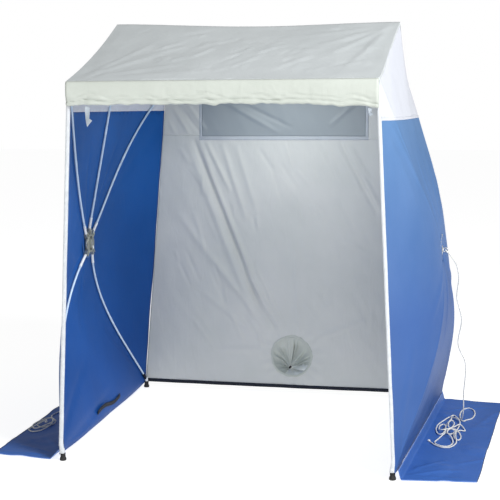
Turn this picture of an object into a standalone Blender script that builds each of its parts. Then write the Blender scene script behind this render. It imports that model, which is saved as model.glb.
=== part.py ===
"""Open-front pop-up tent on two hubbed side frames, in metres, +Z up.

+X is the right side seen from the open front, the front faces -Y, and the origin is the
middle of the footprint on the ground. Each side frame is a hub with five bowed rods that
push the corners of the side wall apart. Poles in the ridge and eaves hold the sides apart.
"""

import math

import bmesh
import bpy
from mathutils import Matrix, Vector
from mathutils.geometry import interpolate_bezier

# Driving dimensions.
APEX_HEIGHT = 1.976
EAVE_HEIGHT = 1.702
SEAM_HEIGHT = 1.55  # blue cloth below, white above
HALF_DEPTH = 0.775
FOOT_HEIGHT = 0.034
HUB_HEIGHT = 0.907
HINGE_X = 0.880  # the plane of the rods' pivots
HINGE_RADIUS = 0.060  # from the hub's axis to each rod's pivot
ROD_RADIUS = 0.005
PIN_RADIUS = 0.0022
PIN_PLAY = 0.0005  # between a pin and its bore
CLOTH = 0.002
CLOTH_OFF_ROD = 0.0090  # from a rod's centre line to the middle of the cloth
GAP = 0.0005

# Corners of a side wall: x, y, z on the right side. The left side mirrors them in X.
CORNERS = {
    "front_eave": (0.680, -HALF_DEPTH, EAVE_HEIGHT),
    "ridge": (0.688, 0.0, APEX_HEIGHT),
    "rear_eave": (0.695, HALF_DEPTH, EAVE_HEIGHT),
    "rear_foot": (0.840, HALF_DEPTH, 0.030),
    "front_foot": (0.757, -HALF_DEPTH, 0.030),
}
RODS = list(CORNERS)
# How far each rod bows outwards from a straight line, and where along it the bow peaks.
BOW = {
    "front_eave": (0.012, 0.4),
    "ridge": (0.000, 0.4),
    "rear_eave": (0.045, 0.6),
    "rear_foot": (0.060, 0.4),
    "front_foot": (0.068, 0.4),
}
ROD_STOPS_SHORT = {
    "front_eave": 0.062,
    "ridge": 0.052,
    "rear_eave": 0.062,
    "rear_foot": 0.030,
    "front_foot": 0.030,
}
VERGE_DIP = 0.018  # the gable's slanting edges are hollow
RIDGE_SAG = 0.015
SIDES = {"left": -1, "right": 1}

# Colour, roughness and metallic value of each material.
FINISHES = {
    "blue_cloth": ((0.055, 0.16, 0.50), 0.6, 0.0),
    "white_cloth": ((0.72, 0.75, 0.77), 0.6, 0.0),
    "cream_cloth": ((0.75, 0.79, 0.74), 0.65, 0.0),
    "window_film": ((0.26, 0.30, 0.32), 0.35, 0.0),
    "white_webbing": ((0.78, 0.80, 0.80), 0.7, 0.0),
    "dark_webbing": ((0.02, 0.03, 0.05), 0.7, 0.0),
    "glass_fibre": ((0.55, 0.68, 0.82), 0.3, 0.0),
    "cast_alloy": ((0.42, 0.43, 0.38), 0.45, 0.8),
    "plated_steel": ((0.55, 0.56, 0.56), 0.3, 1.0),
    "black_rubber": ((0.015, 0.015, 0.015), 0.7, 0.0),
    "black_plastic": ((0.02, 0.02, 0.02), 0.4, 0.0),
    "guy_rope": ((0.80, 0.80, 0.76), 0.8, 0.0),
}


# Building blocks -------------------------------------------------------------------


def material(name):
    if name in bpy.data.materials:
        return bpy.data.materials[name]
    colour, roughness, metallic = FINISHES[name]
    made = bpy.data.materials.new(name)
    made.use_nodes = True
    shader = made.node_tree.nodes["Principled BSDF"]
    shader.inputs["Base Color"].default_value = (*colour, 1.0)
    shader.inputs["Roughness"].default_value = roughness
    shader.inputs["Metallic"].default_value = metallic
    return made


def add(name, data, finish, parent=None, at=None):
    """An object with its own material, its origin at a parent empty or at a point."""
    made = bpy.data.objects.new(name, data)
    bpy.context.collection.objects.link(made)
    data.materials.append(material(finish))
    if at is not None:
        made.location = at
    if parent is not None:
        made.parent = parent
    return made


def empty(name, at):
    made = bpy.data.objects.new(name, None)
    made.location = at
    bpy.context.collection.objects.link(made)
    return made


def mesh_of(name, bm, smooth=True):
    bmesh.ops.recalc_face_normals(bm, faces=bm.faces)
    data = bpy.data.meshes.new(name)
    bm.to_mesh(data)
    bm.free()
    if smooth:
        data.shade_smooth()
        data.set_sharp_from_angle(angle=math.radians(35))
    return data


def skin(bm, rings, ring_closed=True, loft_closed=False):
    """Faces between rings of vertices. An open loft gets a cap at each end."""
    made = [[bm.verts.new(p) for p in ring] for ring in rings]
    pairs = list(zip(made, made[1:]))
    if loft_closed:
        pairs.append((made[-1], made[0]))
    for a, b in pairs:
        for i in range(len(a) if ring_closed else len(a) - 1):
            j = (i + 1) % len(a)
            bm.faces.new((a[i], a[j], b[j], b[i]))
    if not loft_closed:
        bm.faces.new(made[0])
        bm.faces.new(made[-1])
    return made


def sheet(name, rows, offset, ring=False):
    """A closed skin of cloth: the grid of points moved half of offset each way.

    A ring's rows close on themselves, so the cloth is a band around a hole.
    """
    half = Vector(offset) / 2
    if ring:
        ahead = [[p + half for p in row] for row in rows]
        behind = [[p - half for p in row] for row in reversed(rows)]
        bm = bmesh.new()
        skin(bm, ahead + behind, ring_closed=True, loft_closed=True)
        return mesh_of(name, bm)
    loops = [[p + half for p in row] + [p - half for p in reversed(row)] for row in rows]
    bm = bmesh.new()
    made = [[bm.verts.new(p) for p in loop] for loop in loops]
    count = len(rows[0])
    for a, b in zip(made, made[1:]):
        for i in range(2 * count):
            j = (i + 1) % (2 * count)
            bm.faces.new((a[i], a[j], b[j], b[i]))
    for loop in (made[0], made[-1]):
        for i in range(count - 1):
            bm.faces.new((loop[i], loop[i + 1], loop[-2 - i], loop[-1 - i]))
    return mesh_of(name, bm)


def box_mesh(name, low, high):
    bm = bmesh.new()
    size = Vector(high) - Vector(low)
    middle = (Vector(high) + Vector(low)) / 2
    turn = Matrix.Translation(middle) @ Matrix.Diagonal((*size, 1.0))
    bmesh.ops.create_cube(bm, size=1.0, matrix=turn)
    return mesh_of(name, bm, smooth=False)


def turned(name, profile, axis, centre, sides=24):
    """A solid of revolution. The profile is a closed outline of (radius, along) points."""
    bm = bmesh.new()
    frame = axis_frame(axis)
    rings = []
    for k in range(sides):
        angle = math.tau * k / sides
        out = Vector((math.cos(angle), math.sin(angle), 0.0))
        rings.append([centre + frame @ (out * r + Vector((0, 0, h))) for r, h in profile])
    if all(r > 0 for r, _ in profile):
        skin(bm, rings, ring_closed=True, loft_closed=True)
    else:
        skin_to_poles(bm, rings)
    return mesh_of(name, bm)


def skin_to_poles(bm, rings):
    """Revolved profile whose first and last points lie on the axis."""
    start = bm.verts.new(rings[0][0])
    end = bm.verts.new(rings[0][-1])
    inner = [[bm.verts.new(p) for p in ring[1:-1]] for ring in rings]
    for i, ring in enumerate(inner):
        after = inner[(i + 1) % len(inner)]
        bm.faces.new((start, after[0], ring[0]))
        bm.faces.new((end, ring[-1], after[-1]))
        for a, b, c, d in zip(ring, ring[1:], after[1:], after):
            bm.faces.new((a, d, c, b))


def axis_frame(axis):
    """The rotation that takes +Z to an axis."""
    return Vector((0, 0, 1)).rotation_difference(Vector(axis)).to_matrix()


def cutter(name, data):
    made = bpy.data.objects.new(name, data)
    bpy.context.collection.objects.link(made)
    made.hide_render = True
    made.display_type = "WIRE"
    return made


def boolean(target, other, operation):
    modifier = target.modifiers.new(other.name, "BOOLEAN")
    modifier.operation = operation
    modifier.object = other


def tube(name, points, radius, finish, resolution=2, parent=None, at=None):
    """A round rod or rope along points, with closed ends."""
    data = bpy.data.curves.new(name, "CURVE")
    data.dimensions = "3D"
    data.bevel_depth = radius
    data.bevel_resolution = resolution
    data.use_fill_caps = True
    spline = data.splines.new("POLY")
    spline.points.add(len(points) - 1)
    origin = Vector(at) if at is not None else Vector((0, 0, 0))
    for slot, point in zip(spline.points, points):
        slot.co = (*(Vector(point) - origin), 1.0)
    return add(name, data, finish, parent, at)


def smooth_route(points, per_stretch):
    """Points read from one smooth curve through the route's own points."""
    route = [Vector(p) for p in points]
    out = []
    for i in range(len(route) - 1):
        before = route[max(i - 1, 0)]
        after = route[min(i + 2, len(route) - 1)]
        a, b = route[i], route[i + 1]
        lean_a = (b - before) / 6
        lean_b = (after - a) / 6
        out += interpolate_bezier(a, a + lean_a, b - lean_b, b, per_stretch + 1)[:-1]
    return out + [route[-1]]


# The side frame's geometry -----------------------------------------------------------


def mirrored(side, point):
    return Vector((side * point[0], point[1], point[2]))


def radial(rod):
    """The rod's direction from the hub in the side's own plane."""
    _, y, z = CORNERS[rod]
    return Vector((0.0, y, z - HUB_HEIGHT)).normalized()


def bow_share(share, peak):
    """0 at both ends and 1 at the peak."""
    rise, fall = 2.5 * peak, 2.5 * (1 - peak)
    share = min(share, 1.0)
    top = peak**rise * (1 - peak) ** fall
    return share**rise * (1 - share) ** fall / top


def rod_point(rod, share):
    """A point of the rod's centre line, from its pivot at 0 to the wall's corner at 1."""
    corner = Vector(CORNERS[rod])
    corner.x -= CLOTH_OFF_ROD
    pivot = Vector((HINGE_X, 0.0, HUB_HEIGHT)) + radial(rod) * HINGE_RADIUS
    amount, peak = BOW[rod]
    point = pivot.lerp(corner, share)
    point.x += amount * bow_share(share, peak)
    return point


def wall_point(rod_a, rod_b, share, across):
    """A point of the side cloth between two rods."""
    point = rod_point(rod_a, share).lerp(rod_point(rod_b, share), across)
    point.x += CLOTH_OFF_ROD
    return point


def edge_share(rod_a, rod_b, across):
    """How far out the cloth reaches: hollow at the verges, down to the ground below."""
    length = (rod_point(rod_a, 1.0) - rod_point(rod_a, 0.0)).length
    if "ridge" in (rod_a, rod_b):
        return 1.0 - VERGE_DIP * 4 * across * (1 - across) / length
    if rod_a == "rear_foot":
        drop = CORNERS["rear_foot"][2] - 0.004
        return 1.0 + drop * (1 - abs(2 * across - 1) ** 8) / (HUB_HEIGHT - 0.03)
    return 1.0


def side_cloth_rows(side):
    """Rings of the side cloth from the hub's opening to the outer edge."""
    opening = 0.018
    steps = 9
    columns = {"rear_foot": 10, "front_foot": 4, "rear_eave": 4}
    rows = []
    for k in range(steps + 1):
        row = []
        for i, rod in enumerate(RODS):
            after = RODS[(i + 1) % len(RODS)]
            count = columns.get(rod, 5)
            for c in range(count):
                across = c / count
                share = opening + (1 - opening) * k / steps
                share *= edge_share(rod, after, across)
                row.append(mirrored(side, wall_point(rod, after, share, across)))
        rows.append(row)
    return rows


# Parts ---------------------------------------------------------------------------------


def side_cloth(name, side, above, below):
    """The blue wall, or the white gable over it, cut from one bulging cloth at the seam."""
    data = sheet(name + "_wall", side_cloth_rows(side), (CLOTH, 0, 0), ring=True)
    wall = add(name + "_side_wall", data, "blue_cloth")
    boolean(wall, above, "DIFFERENCE")
    gable = add(name + "_gable", data.copy(), "white_cloth")
    gable.data.materials.clear()
    gable.data.materials.append(material("white_cloth"))
    boolean(gable, below, "DIFFERENCE")


def roof():
    """One cloth over the ridge, from eave to eave, lifted clear of the gables."""
    rise = APEX_HEIGHT - EAVE_HEIGHT
    lift = 0.003
    rows = []
    for k in range(13):
        u = -1 + k / 6
        row = []
        for c in range(13):
            v = -1 + c / 6
            eave = CORNERS["front_eave" if v < 0 else "rear_eave"][0]
            half = CORNERS["ridge"][0] * (1 - abs(v)) + eave * abs(v) + CLOTH / 2
            sag = RIDGE_SAG * (1 - u * u) ** 2 * (1 - abs(v))
            dip = VERGE_DIP * 4 * abs(v) * (1 - abs(v)) * u * u
            z = APEX_HEIGHT + lift - rise * abs(v) - sag - dip
            row.append(Vector((u * half, v * HALF_DEPTH, z)))
        rows.append(row)
    add("roof_cloth", sheet("roof_cloth", rows, (0, 0, CLOTH)), "white_cloth")


WINDOW = {"low_x": -0.494, "high_x": 0.420, "low_z": 1.425, "high_z": 1.645}
PORT_CENTRE = Vector((0.010, 0.7775, 0.208))
PORT_RADIUS = 0.1085
PORT_THROAT = Vector((-0.003, 0.814, 0.140))
REAR_Y = HALF_DEPTH + 0.0025
REAR_BOTTOM = 0.038


def rear_half_width(z):
    low, high = CORNERS["rear_foot"], CORNERS["rear_eave"]
    share = (z - low[2]) / (high[2] - low[2])
    return low[0] + (high[0] - low[0]) * share


def rear_wall():
    """The rear cloth with its duct port and window opening."""
    rows = []
    for k in range(9):
        z = REAR_BOTTOM + (EAVE_HEIGHT - REAR_BOTTOM) * k / 8
        half = rear_half_width(z)
        rows.append([Vector((half * (c / 4 - 1), REAR_Y, z)) for c in range(9)])
    wall = add("rear_wall", sheet("rear_wall", rows, (0, CLOTH, 0)), "white_cloth")
    hole = turned(
        "port_hole",
        [(0, -0.02), (PORT_RADIUS, -0.02), (PORT_RADIUS, 0.02), (0, 0.02)],
        (0, 1, 0),
        PORT_CENTRE,
        32,
    )
    boolean(wall, cutter("port_hole", hole), "DIFFERENCE")
    low = (WINDOW["low_x"], REAR_Y - 0.02, WINDOW["low_z"])
    high = (WINDOW["high_x"], REAR_Y + 0.02, WINDOW["high_z"])
    boolean(wall, cutter("window_hole", box_mesh("window_hole", low, high)), "DIFFERENCE")


def window():
    """The film that is stitched into the rear wall's opening."""
    rows = []
    for z in (WINDOW["low_z"] + GAP, WINDOW["high_z"] - GAP):
        low, high = WINDOW["low_x"] + GAP, WINDOW["high_x"] - GAP
        rows.append([Vector((low + (high - low) * c / 6, REAR_Y, z)) for c in range(7)])
    add("window_panel", sheet("window_panel", rows, (0, CLOTH, 0)), "window_film")


def port():
    """The collar, the sleeve that is drawn shut behind the wall, and its cord lock."""
    face = PORT_CENTRE.copy()
    face.y = REAR_Y - CLOTH / 2 - GAP
    collar = [(0.1100, 0.0), (0.1220, 0.0), (0.1220, -0.0030), (0.1100, -0.0030)]
    add(
        "port_collar",
        turned("port_collar", collar, (0, 1, 0), face, 32),
        "white_webbing",
    )
    rings = []
    outer, inner = [], []
    for k in range(6):
        share = k / 5
        middle = PORT_CENTRE.lerp(PORT_THROAT, share)
        radius = 0.1065 + (0.0100 - 0.1065) * share
        for ring, r, shift in ((outer, radius, 0.0015), (inner, radius - 0.002, -0.0015)):
            ring.append(
                [
                    middle
                    + Vector((r * math.cos(a), shift * (1 - share), r * math.sin(a)))
                    for a in (math.tau * i / 24 for i in range(24))
                ]
            )
    rings = outer + inner[::-1]
    bm = bmesh.new()
    skin(bm, rings, ring_closed=True, loft_closed=True)
    add("port_sleeve", mesh_of("port_sleeve", bm), "white_cloth")
    lock = empty("cord_lock_axis", PORT_THROAT)
    body = [
        (0.0046, -0.016),
        (0.0066, -0.016),
        (0.0066, 0.004),
        (0.0010, 0.004),
        (0.0010, 0.000),
        (0.0046, 0.000),
    ]
    button = [(0, -0.0265), (0.0058, -0.0265), (0.0058, -0.0200), (0.0040, -0.0200)]
    button += [(0.0040, -0.0045), (0, -0.0045)]
    for name, profile in (("cord_lock_body", body), ("cord_lock_button", button)):
        data = turned(name, profile, (0, 1, 0), Vector((0, 0, 0)), 16)
        add(name, data, "black_plastic", parent=lock)


def round_bar(bm, radius, length, place):
    bmesh.ops.create_cone(
        bm,
        cap_ends=True,
        segments=12,
        radius1=radius,
        radius2=radius,
        depth=length,
        matrix=place,
    )


def hub_solid(name, side):
    """A cast disc with a fork for each rod, its pins' holes bored across the fork."""
    thick = 0.014
    disc_radius = 0.047
    slot = 2 * ROD_RADIUS + 0.001
    lug = 0.0045
    axis = (side, 0, 0)
    disc = [(0.0046, -thick / 2), (disc_radius, -thick / 2)]
    disc += [(disc_radius, thick / 2), (0.0046, thick / 2)]
    body = turned(name, disc, axis, Vector((0, 0, 0)), 24)
    hub = add(name, body, "cast_alloy", at=(side * HINGE_X, 0, HUB_HEIGHT))
    forks, bores = [], []
    for rod in RODS:
        along = radial(rod)
        across = along.cross(Vector((1, 0, 0)))
        for sign in (-1, 1):
            middle = along * 0.0550 + across * sign * (slot + lug) / 2
            forks.append((middle, along, across, (0.022, lug, thick)))
        bores.append((along * HINGE_RADIUS, across))
    bm = bmesh.new()
    for middle, along, across, size in forks:
        turn = Matrix((along, across, along.cross(across))).transposed().to_4x4()
        place = Matrix.Translation(middle) @ turn @ Matrix.Diagonal((*size, 1.0))
        bmesh.ops.create_cube(bm, size=1.0, matrix=place)
    fork = cutter(name + "_forks", mesh_of(name + "_forks", bm, smooth=False))
    bm = bmesh.new()
    for middle, across in bores:
        place = Matrix.Translation(middle) @ axis_frame(across).to_4x4()
        round_bar(bm, PIN_RADIUS + PIN_PLAY, 0.03, place)
    bore = cutter(name + "_bores", mesh_of(name + "_bores", bm, smooth=False))
    for other in (fork, bore):
        other.location = hub.location
    boolean(hub, fork, "UNION")
    boolean(hub, bore, "DIFFERENCE")


def hub_fittings(name, side):
    """What is stacked on the hub's bolt, from the inside out."""
    hub_at = Vector((side * HINGE_X, 0, HUB_HEIGHT))
    out = (side, 0, 0)
    cover = [(0.0050, -0.0075), (0.0460, -0.0075), (0.0440, -0.0105)]
    cover += [(0.0200, -0.0120), (0.0050, -0.0120)]
    add(
        name + "_hub_cover",
        turned(name + "_hub_cover", cover, out, Vector((0, 0, 0)), 24),
        "cast_alloy",
        at=hub_at,
    )
    patch_rows = []
    for radius in (0.0060, 0.0610):
        row = [radial(rod) * radius for rod in RODS]
        for point in row:
            point.x = side * CLOTH_OFF_ROD
        patch_rows.append(row)
    patch = sheet(name + "_hub_patch", patch_rows, (CLOTH, 0, 0), ring=True)
    add(name + "_hub_patch", patch, "blue_cloth", at=hub_at)
    washer = [(0.0046, 0.0100), (0.0220, 0.0100), (0.0220, 0.0120), (0.0046, 0.0120)]
    add(
        name + "_hub_washer",
        turned(name + "_hub_washer", washer, out, Vector((0, 0, 0)), 24),
        "plated_steel",
        at=hub_at,
    )
    stem = [(0, -0.0165), (0.0085, -0.0165), (0.0085, -0.0125), (0.0040, -0.0125)]
    stem += [(0.0040, 0.0125), (0.0090, 0.0125), (0.0090, 0.0175), (0, 0.0175)]
    bolt = add(
        name + "_eye_bolt",
        turned(name + "_eye_bolt", stem, out, Vector((0, 0, 0)), 20),
        "plated_steel",
        at=hub_at,
    )
    bm = bmesh.new()
    ring = []
    eye_from_hub, eye_radius, wire_radius = 0.0265, 0.0105, 0.0022
    for k in range(14):
        a = math.tau * k / 14
        outward = Vector((side * math.cos(a), 0, math.sin(a)))
        centre = Vector((side * eye_from_hub, 0, 0)) + outward * eye_radius
        loop = []
        for i in range(6):
            b = math.tau * i / 6
            across = Vector((0, wire_radius * math.sin(b), 0))
            loop.append(centre + outward * wire_radius * math.cos(b) + across)
        ring.append(loop)
    skin(bm, ring, ring_closed=True, loft_closed=True)
    eye = cutter(name + "_eye", mesh_of(name + "_eye", bm))
    eye.location = hub_at
    boolean(bolt, eye, "UNION")


def rod_with_pin(name, side, rod):
    """A bowed rod with the cross pin that it turns on, its origin on that pin."""
    length = (rod_point(rod, 1.0) - rod_point(rod, 0.0)).length
    last = 1.0 - ROD_STOPS_SHORT[rod] / length
    pivot = mirrored(side, rod_point(rod, 0.0))
    steps = 9
    shares = [last * k / steps for k in range(1, steps + 1)]
    points = [mirrored(side, rod_point(rod, share)) for share in shares]
    first = pivot - (points[0] - pivot).normalized() * 0.006
    made = tube(f"{name}_rod_{rod}", [first, *points], ROD_RADIUS, "glass_fibre", 2, None, pivot)
    across = radial(rod).cross(Vector((1, 0, 0)))
    bm = bmesh.new()
    round_bar(bm, PIN_RADIUS, 2 * ROD_RADIUS + 0.010, axis_frame(across).to_4x4())
    pin = cutter(f"{name}_pin_{rod}", mesh_of(f"{name}_pin_{rod}", bm))
    pin.location = pivot
    boolean(as_mesh(made), pin, "UNION")


def as_mesh(curve_object):
    """The same object with its curve's surface as a mesh, so that it can take a boolean."""
    name, at, curve = curve_object.name, curve_object.location.copy(), curve_object.data
    graph = bpy.context.evaluated_depsgraph_get()
    data = bpy.data.meshes.new_from_object(curve_object.evaluated_get(graph))
    data.name = name
    data.materials.clear()
    bpy.data.objects.remove(curve_object)
    bpy.data.curves.remove(curve)
    return add(name, data, "glass_fibre", at=at)


def pole(name, y, z, half_length, sag):
    points = []
    for k in range(13):
        u = -1 + k / 6
        points.append((u * half_length, y, z - sag * (1 - u * u) ** 2))
    tube(name, points, 0.007, "glass_fibre")


def poles():
    """The poles across the tent, each with a cap over both ends."""
    inset = 0.013
    layout = {
        "ridge_pole": (0.0, APEX_HEIGHT - 0.011, RIDGE_SAG, "ridge"),
        "front_eave_pole": (-HALF_DEPTH + inset, EAVE_HEIGHT - inset, 0.0, "front_eave"),
        "rear_eave_pole": (HALF_DEPTH - inset, EAVE_HEIGHT - inset, 0.0, "rear_eave"),
    }
    cap = [(0, 0.0), (0.0095, 0.0), (0.0095, -0.024), (0.0074, -0.024), (0.0074, -0.0025)]
    cap.append((0, -0.0025))
    for name, (y, z, sag, corner) in layout.items():
        end = CORNERS[corner][0] - 0.012
        pole(name, y, z, end - 0.003, sag)
        for side_name, side in SIDES.items():
            add(
                f"{side_name}_{corner}_cap",
                turned("cap", cap, (side, 0, 0), Vector((side * end, y, z)), 16),
                "black_plastic",
            )


def foot(name, side, corner):
    """A rubber tip: a waisted bell with a flat sole."""
    x, y, _ = CORNERS[corner]
    inset = 0.016
    centre = Vector((side * (x - inset), y - math.copysign(inset, y), 0.0))
    profile = [(0, 0.0), (0.0135, 0.0), (0.0150, 0.003), (0.0150, 0.010), (0.0120, 0.018)]
    profile += [(0.0110, 0.026), (0.0125, FOOT_HEIGHT), (0, FOOT_HEIGHT)]
    add(name, turned(name, profile, (0, 0, 1), centre, 20), "black_rubber")


def header_roll():
    """The rolled door under the front eave: a flattened roll that hangs as a band."""
    half_length = 0.681
    middle_y = -0.7895
    half_thick = 0.0120
    bm = bmesh.new()
    rings = []
    for k in range(13):
        u = -1 + k / 6
        bottom = 1.597 - 0.012 * max(u, 0) ** 2
        top = 1.7015
        loop = []
        for i in range(12):
            a = math.tau * i / 12
            rise = math.copysign(abs(math.sin(a)) ** 0.5, math.sin(a))
            z = (top + bottom) / 2 + (top - bottom) / 2 * rise
            loop.append((u * half_length, middle_y + half_thick * math.cos(a), z))
        rings.append(loop)
    skin(bm, rings)
    add("rolled_door", mesh_of("rolled_door", bm), "cream_cloth")


def front_binding(name, side):
    """The white strip that edges the side wall's front."""
    top, bottom = 1.583, 0.038
    rows = []
    for k in range(5):
        z = bottom + (top - bottom) * k / 4
        high, low = CORNERS["front_eave"], CORNERS["front_foot"]
        share = (z - low[2]) / (high[2] - low[2])
        x = low[0] + (high[0] - low[0]) * share - 0.004
        rows.append([Vector((side * (x + d), -HALF_DEPTH - 0.002, z)) for d in (-0.0085, 0.0085)])
    data = sheet(name, rows, (0, 0.003, 0))
    add(name, data, "white_webbing")


def ground_flap(name, side):
    """The skirt that lies on the ground outside a side wall."""
    inner_front, inner_rear = Vector((0.785, -0.700, 0.001)), Vector((0.846, 0.775, 0.001))
    outer_front, outer_rear = Vector((1.102, -0.728, 0.001)), Vector((1.168, 0.742, 0.001))
    rows = []
    for k in range(9):
        t = k / 8
        a = inner_front.lerp(inner_rear, t)
        a.x = max(a.x, wall_point("front_foot", "rear_foot", 1.0, t).x + 0.004)
        b = outer_front.lerp(outer_rear, t)
        rows.append([mirrored(side, a.lerp(b, c / 3)) for c in range(4)])
    add(name, sheet(name, rows, (0, 0, CLOTH - 0.0004)), "blue_cloth")


def tie_strap(name, at, width, length):
    """A strap that hangs from under the rolled door, its origin at its top edge."""
    half, thick = width / 2, 0.0012
    tip = length
    outline = [(-half, -0.001), (half, -0.001), (half * 0.8, -0.62 * tip)]
    outline += [(half * 2.1, -0.68 * tip), (0.0, -tip), (-half * 0.7, -0.62 * tip)]
    bm = bmesh.new()
    skin(bm, [[(x, y, z) for x, z in outline] for y in (-thick, thick)])
    add(name, mesh_of(name, bm, smooth=False), "white_webbing", at=at)


# Guy ropes: each route is the rope's own centre line, chosen by hand on the right side.
ROPE_RADIUS = 0.003
RIGHT_HANG = [
    (0.9210, 0.000, 0.8930),
    (0.9420, 0.006, 0.8640),
    (0.9600, 0.020, 0.8280),
    (0.9680, 0.050, 0.7640),
    (0.9580, 0.090, 0.6640),
    (0.9800, 0.120, 0.5530),
    (0.9620, 0.160, 0.4260),
    (0.9980, 0.190, 0.3180),
    (0.9880, 0.230, 0.1640),
    (0.9850, 0.270, 0.0660),
    (0.9760, 0.312, 0.0170),
    (0.9640, 0.372, 0.0058),
    (0.9600, 0.450, 0.0055),
    (0.9680, 0.540, 0.0055),
    (0.9950, 0.583, 0.0055),
    (1.0230, 0.545, 0.0055),
    (1.0340, 0.450, 0.0055),
    (1.0230, 0.360, 0.0055),
    (0.9980, 0.325, 0.0055),
]
LEFT_HANG = [
    (-0.9210, 0.000, 0.8930),
    (-0.9420, 0.004, 0.8640),
    (-0.9560, 0.010, 0.8200),
    (-0.9620, 0.020, 0.7400),
    (-0.9550, 0.016, 0.6400),
    (-0.9640, 0.000, 0.5400),
    (-0.9580, -0.020, 0.4300),
    (-0.9700, -0.030, 0.3100),
    (-0.9720, -0.040, 0.1800),
    (-0.9840, -0.030, 0.0800),
    (-0.9960, -0.010, 0.0230),
    (-1.0280, 0.030, 0.0062),
    (-1.0380, 0.085, 0.0055),
    (-1.0620, 0.122, 0.0055),
    (-1.0900, 0.100, 0.0055),
    (-1.0980, 0.050, 0.0055),
]


def rope_pile(name, centre, reach, height):
    """The outer shape of a loose heap of rope: a low mound with a flat sole."""
    bm = bmesh.new()
    rings = []
    sole = 0.0024
    for share, rise in ((0.90, 0.0), (1.0, 0.3), (0.96, 0.7), (0.80, 1.0)):
        ring = []
        for k in range(20):
            a = math.tau * k / 20
            x = centre[0] + reach[0] * share * math.cos(a)
            y = centre[1] + reach[1] * share * math.sin(a)
            ring.append((x, y, sole + rise * height))
        rings.append(ring)
    skin(bm, rings)
    add(name, mesh_of(name, bm), "guy_rope")


def guy_ropes():
    for name, route in (("right_guy_rope", RIGHT_HANG), ("left_guy_rope", LEFT_HANG)):
        tube(name, smooth_route(route, 4), ROPE_RADIUS, "guy_rope")
    rope_pile("right_rope_pile", (0.925, 0.045), (0.062, 0.245), 0.016)
    rope_pile("left_rope_pile", (-1.062, -0.185), (0.050, 0.165), 0.016)


def base_webbing():
    """The dark webbing along the rear wall's foot, and the strap inside the left wall."""
    low, high = 0.0175, 0.0365
    rows = []
    for z in (low, high):
        rows.append([Vector((0.822 * (c / 4 - 1), REAR_Y, z)) for c in range(9)])
    add("rear_base_webbing", sheet("rear_base_webbing", rows, (0, 0.0025, 0)), "dark_webbing")
    rows = []
    for k in range(9):
        y = -0.160 + 0.400 * k / 8
        x = -wall_point("front_foot", "rear_foot", 0.93, (y + HALF_DEPTH) / (2 * HALF_DEPTH)).x
        lift = 0.010 * math.sin(math.tau * k / 8)
        rows.append([Vector((x + 0.0085, y, 0.072 + lift + d)) for d in (-0.010, 0.010)])
    add("left_base_strap", sheet("left_base_strap", rows, (0.0024, 0, 0)), "dark_webbing")


def main():
    for old in list(bpy.data.objects):
        bpy.data.objects.remove(old)
    seam_gap = GAP / 2
    over = box_mesh("over_seam", (-1.5, -1.5, SEAM_HEIGHT - seam_gap), (1.5, 1.5, 2.5))
    under = box_mesh("under_seam", (-1.5, -1.5, -0.5), (1.5, 1.5, SEAM_HEIGHT + seam_gap))
    above, below = cutter("over_seam", over), cutter("under_seam", under)
    for name, side in SIDES.items():
        side_cloth(name, side, above, below)
        hub_solid(name + "_hub", side)
        hub_fittings(name, side)
        for rod in RODS:
            rod_with_pin(name, side, rod)
        for corner in ("front_foot", "rear_foot"):
            foot(f"{name}_{corner}_tip", side, corner)
        front_binding(name + "_front_binding", side)
        ground_flap(name + "_ground_flap", side)
    roof()
    rear_wall()
    window()
    port()
    poles()
    header_roll()
    base_webbing()
    tie_strap("left_tie_strap", (-0.590, -0.7895, 1.594), 0.026, 0.095)
    tie_strap("right_tie_strap", (0.640, -0.7895, 1.580), 0.020, 0.040)
    guy_ropes()


main()
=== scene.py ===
"""Looks of the open-front pop-up tent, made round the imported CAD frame.

Metres, +Z up. The open front faces -Y and the origin is the middle of the footprint on the ground.
"""

import math

import bmesh
import bpy
import numpy as np
from mathutils import Matrix, Vector, noise
from mathutils.geometry import interpolate_bezier


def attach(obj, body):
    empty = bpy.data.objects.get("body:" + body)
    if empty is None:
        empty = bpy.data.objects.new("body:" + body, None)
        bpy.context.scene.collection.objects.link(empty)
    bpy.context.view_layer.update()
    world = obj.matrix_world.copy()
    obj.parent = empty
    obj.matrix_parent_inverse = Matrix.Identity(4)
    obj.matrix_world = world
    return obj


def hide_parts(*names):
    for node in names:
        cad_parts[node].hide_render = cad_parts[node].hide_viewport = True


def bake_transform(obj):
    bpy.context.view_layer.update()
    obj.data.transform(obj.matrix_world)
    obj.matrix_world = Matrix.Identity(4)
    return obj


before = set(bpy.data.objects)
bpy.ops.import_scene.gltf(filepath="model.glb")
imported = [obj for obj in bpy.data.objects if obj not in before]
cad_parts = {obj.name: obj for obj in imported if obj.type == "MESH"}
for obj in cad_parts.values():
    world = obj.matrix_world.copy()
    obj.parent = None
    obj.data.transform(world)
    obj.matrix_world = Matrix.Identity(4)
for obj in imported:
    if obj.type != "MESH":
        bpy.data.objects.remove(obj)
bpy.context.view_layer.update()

# Sizes

APEX_HEIGHT = 1.976
EAVE_HEIGHT = 1.702
SEAM_HEIGHT = 1.55  # blue cloth below, white above
SEAM_TILT = 0.018  # how much higher the left seam sits, and lower the right one
HALF_DEPTH = 0.775
HUB_HEIGHT = 0.907
HINGE_X = 0.88
HINGE_RADIUS = 0.06
PATCH_SLOPE = 0.19  # how fast the wall falls away from the hub
EYE_REACH = 0.0265  # the eye's centre outside the hinge plane
EYE_RING = 0.0105
CLOTH_OFF_ROD = 0.009
VERGE_DIP = 0.018
RIDGE_SAG = 0.015
REAR_Y = 0.7775
CLOTH = 0.0012  # how thick the cloth looks

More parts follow.
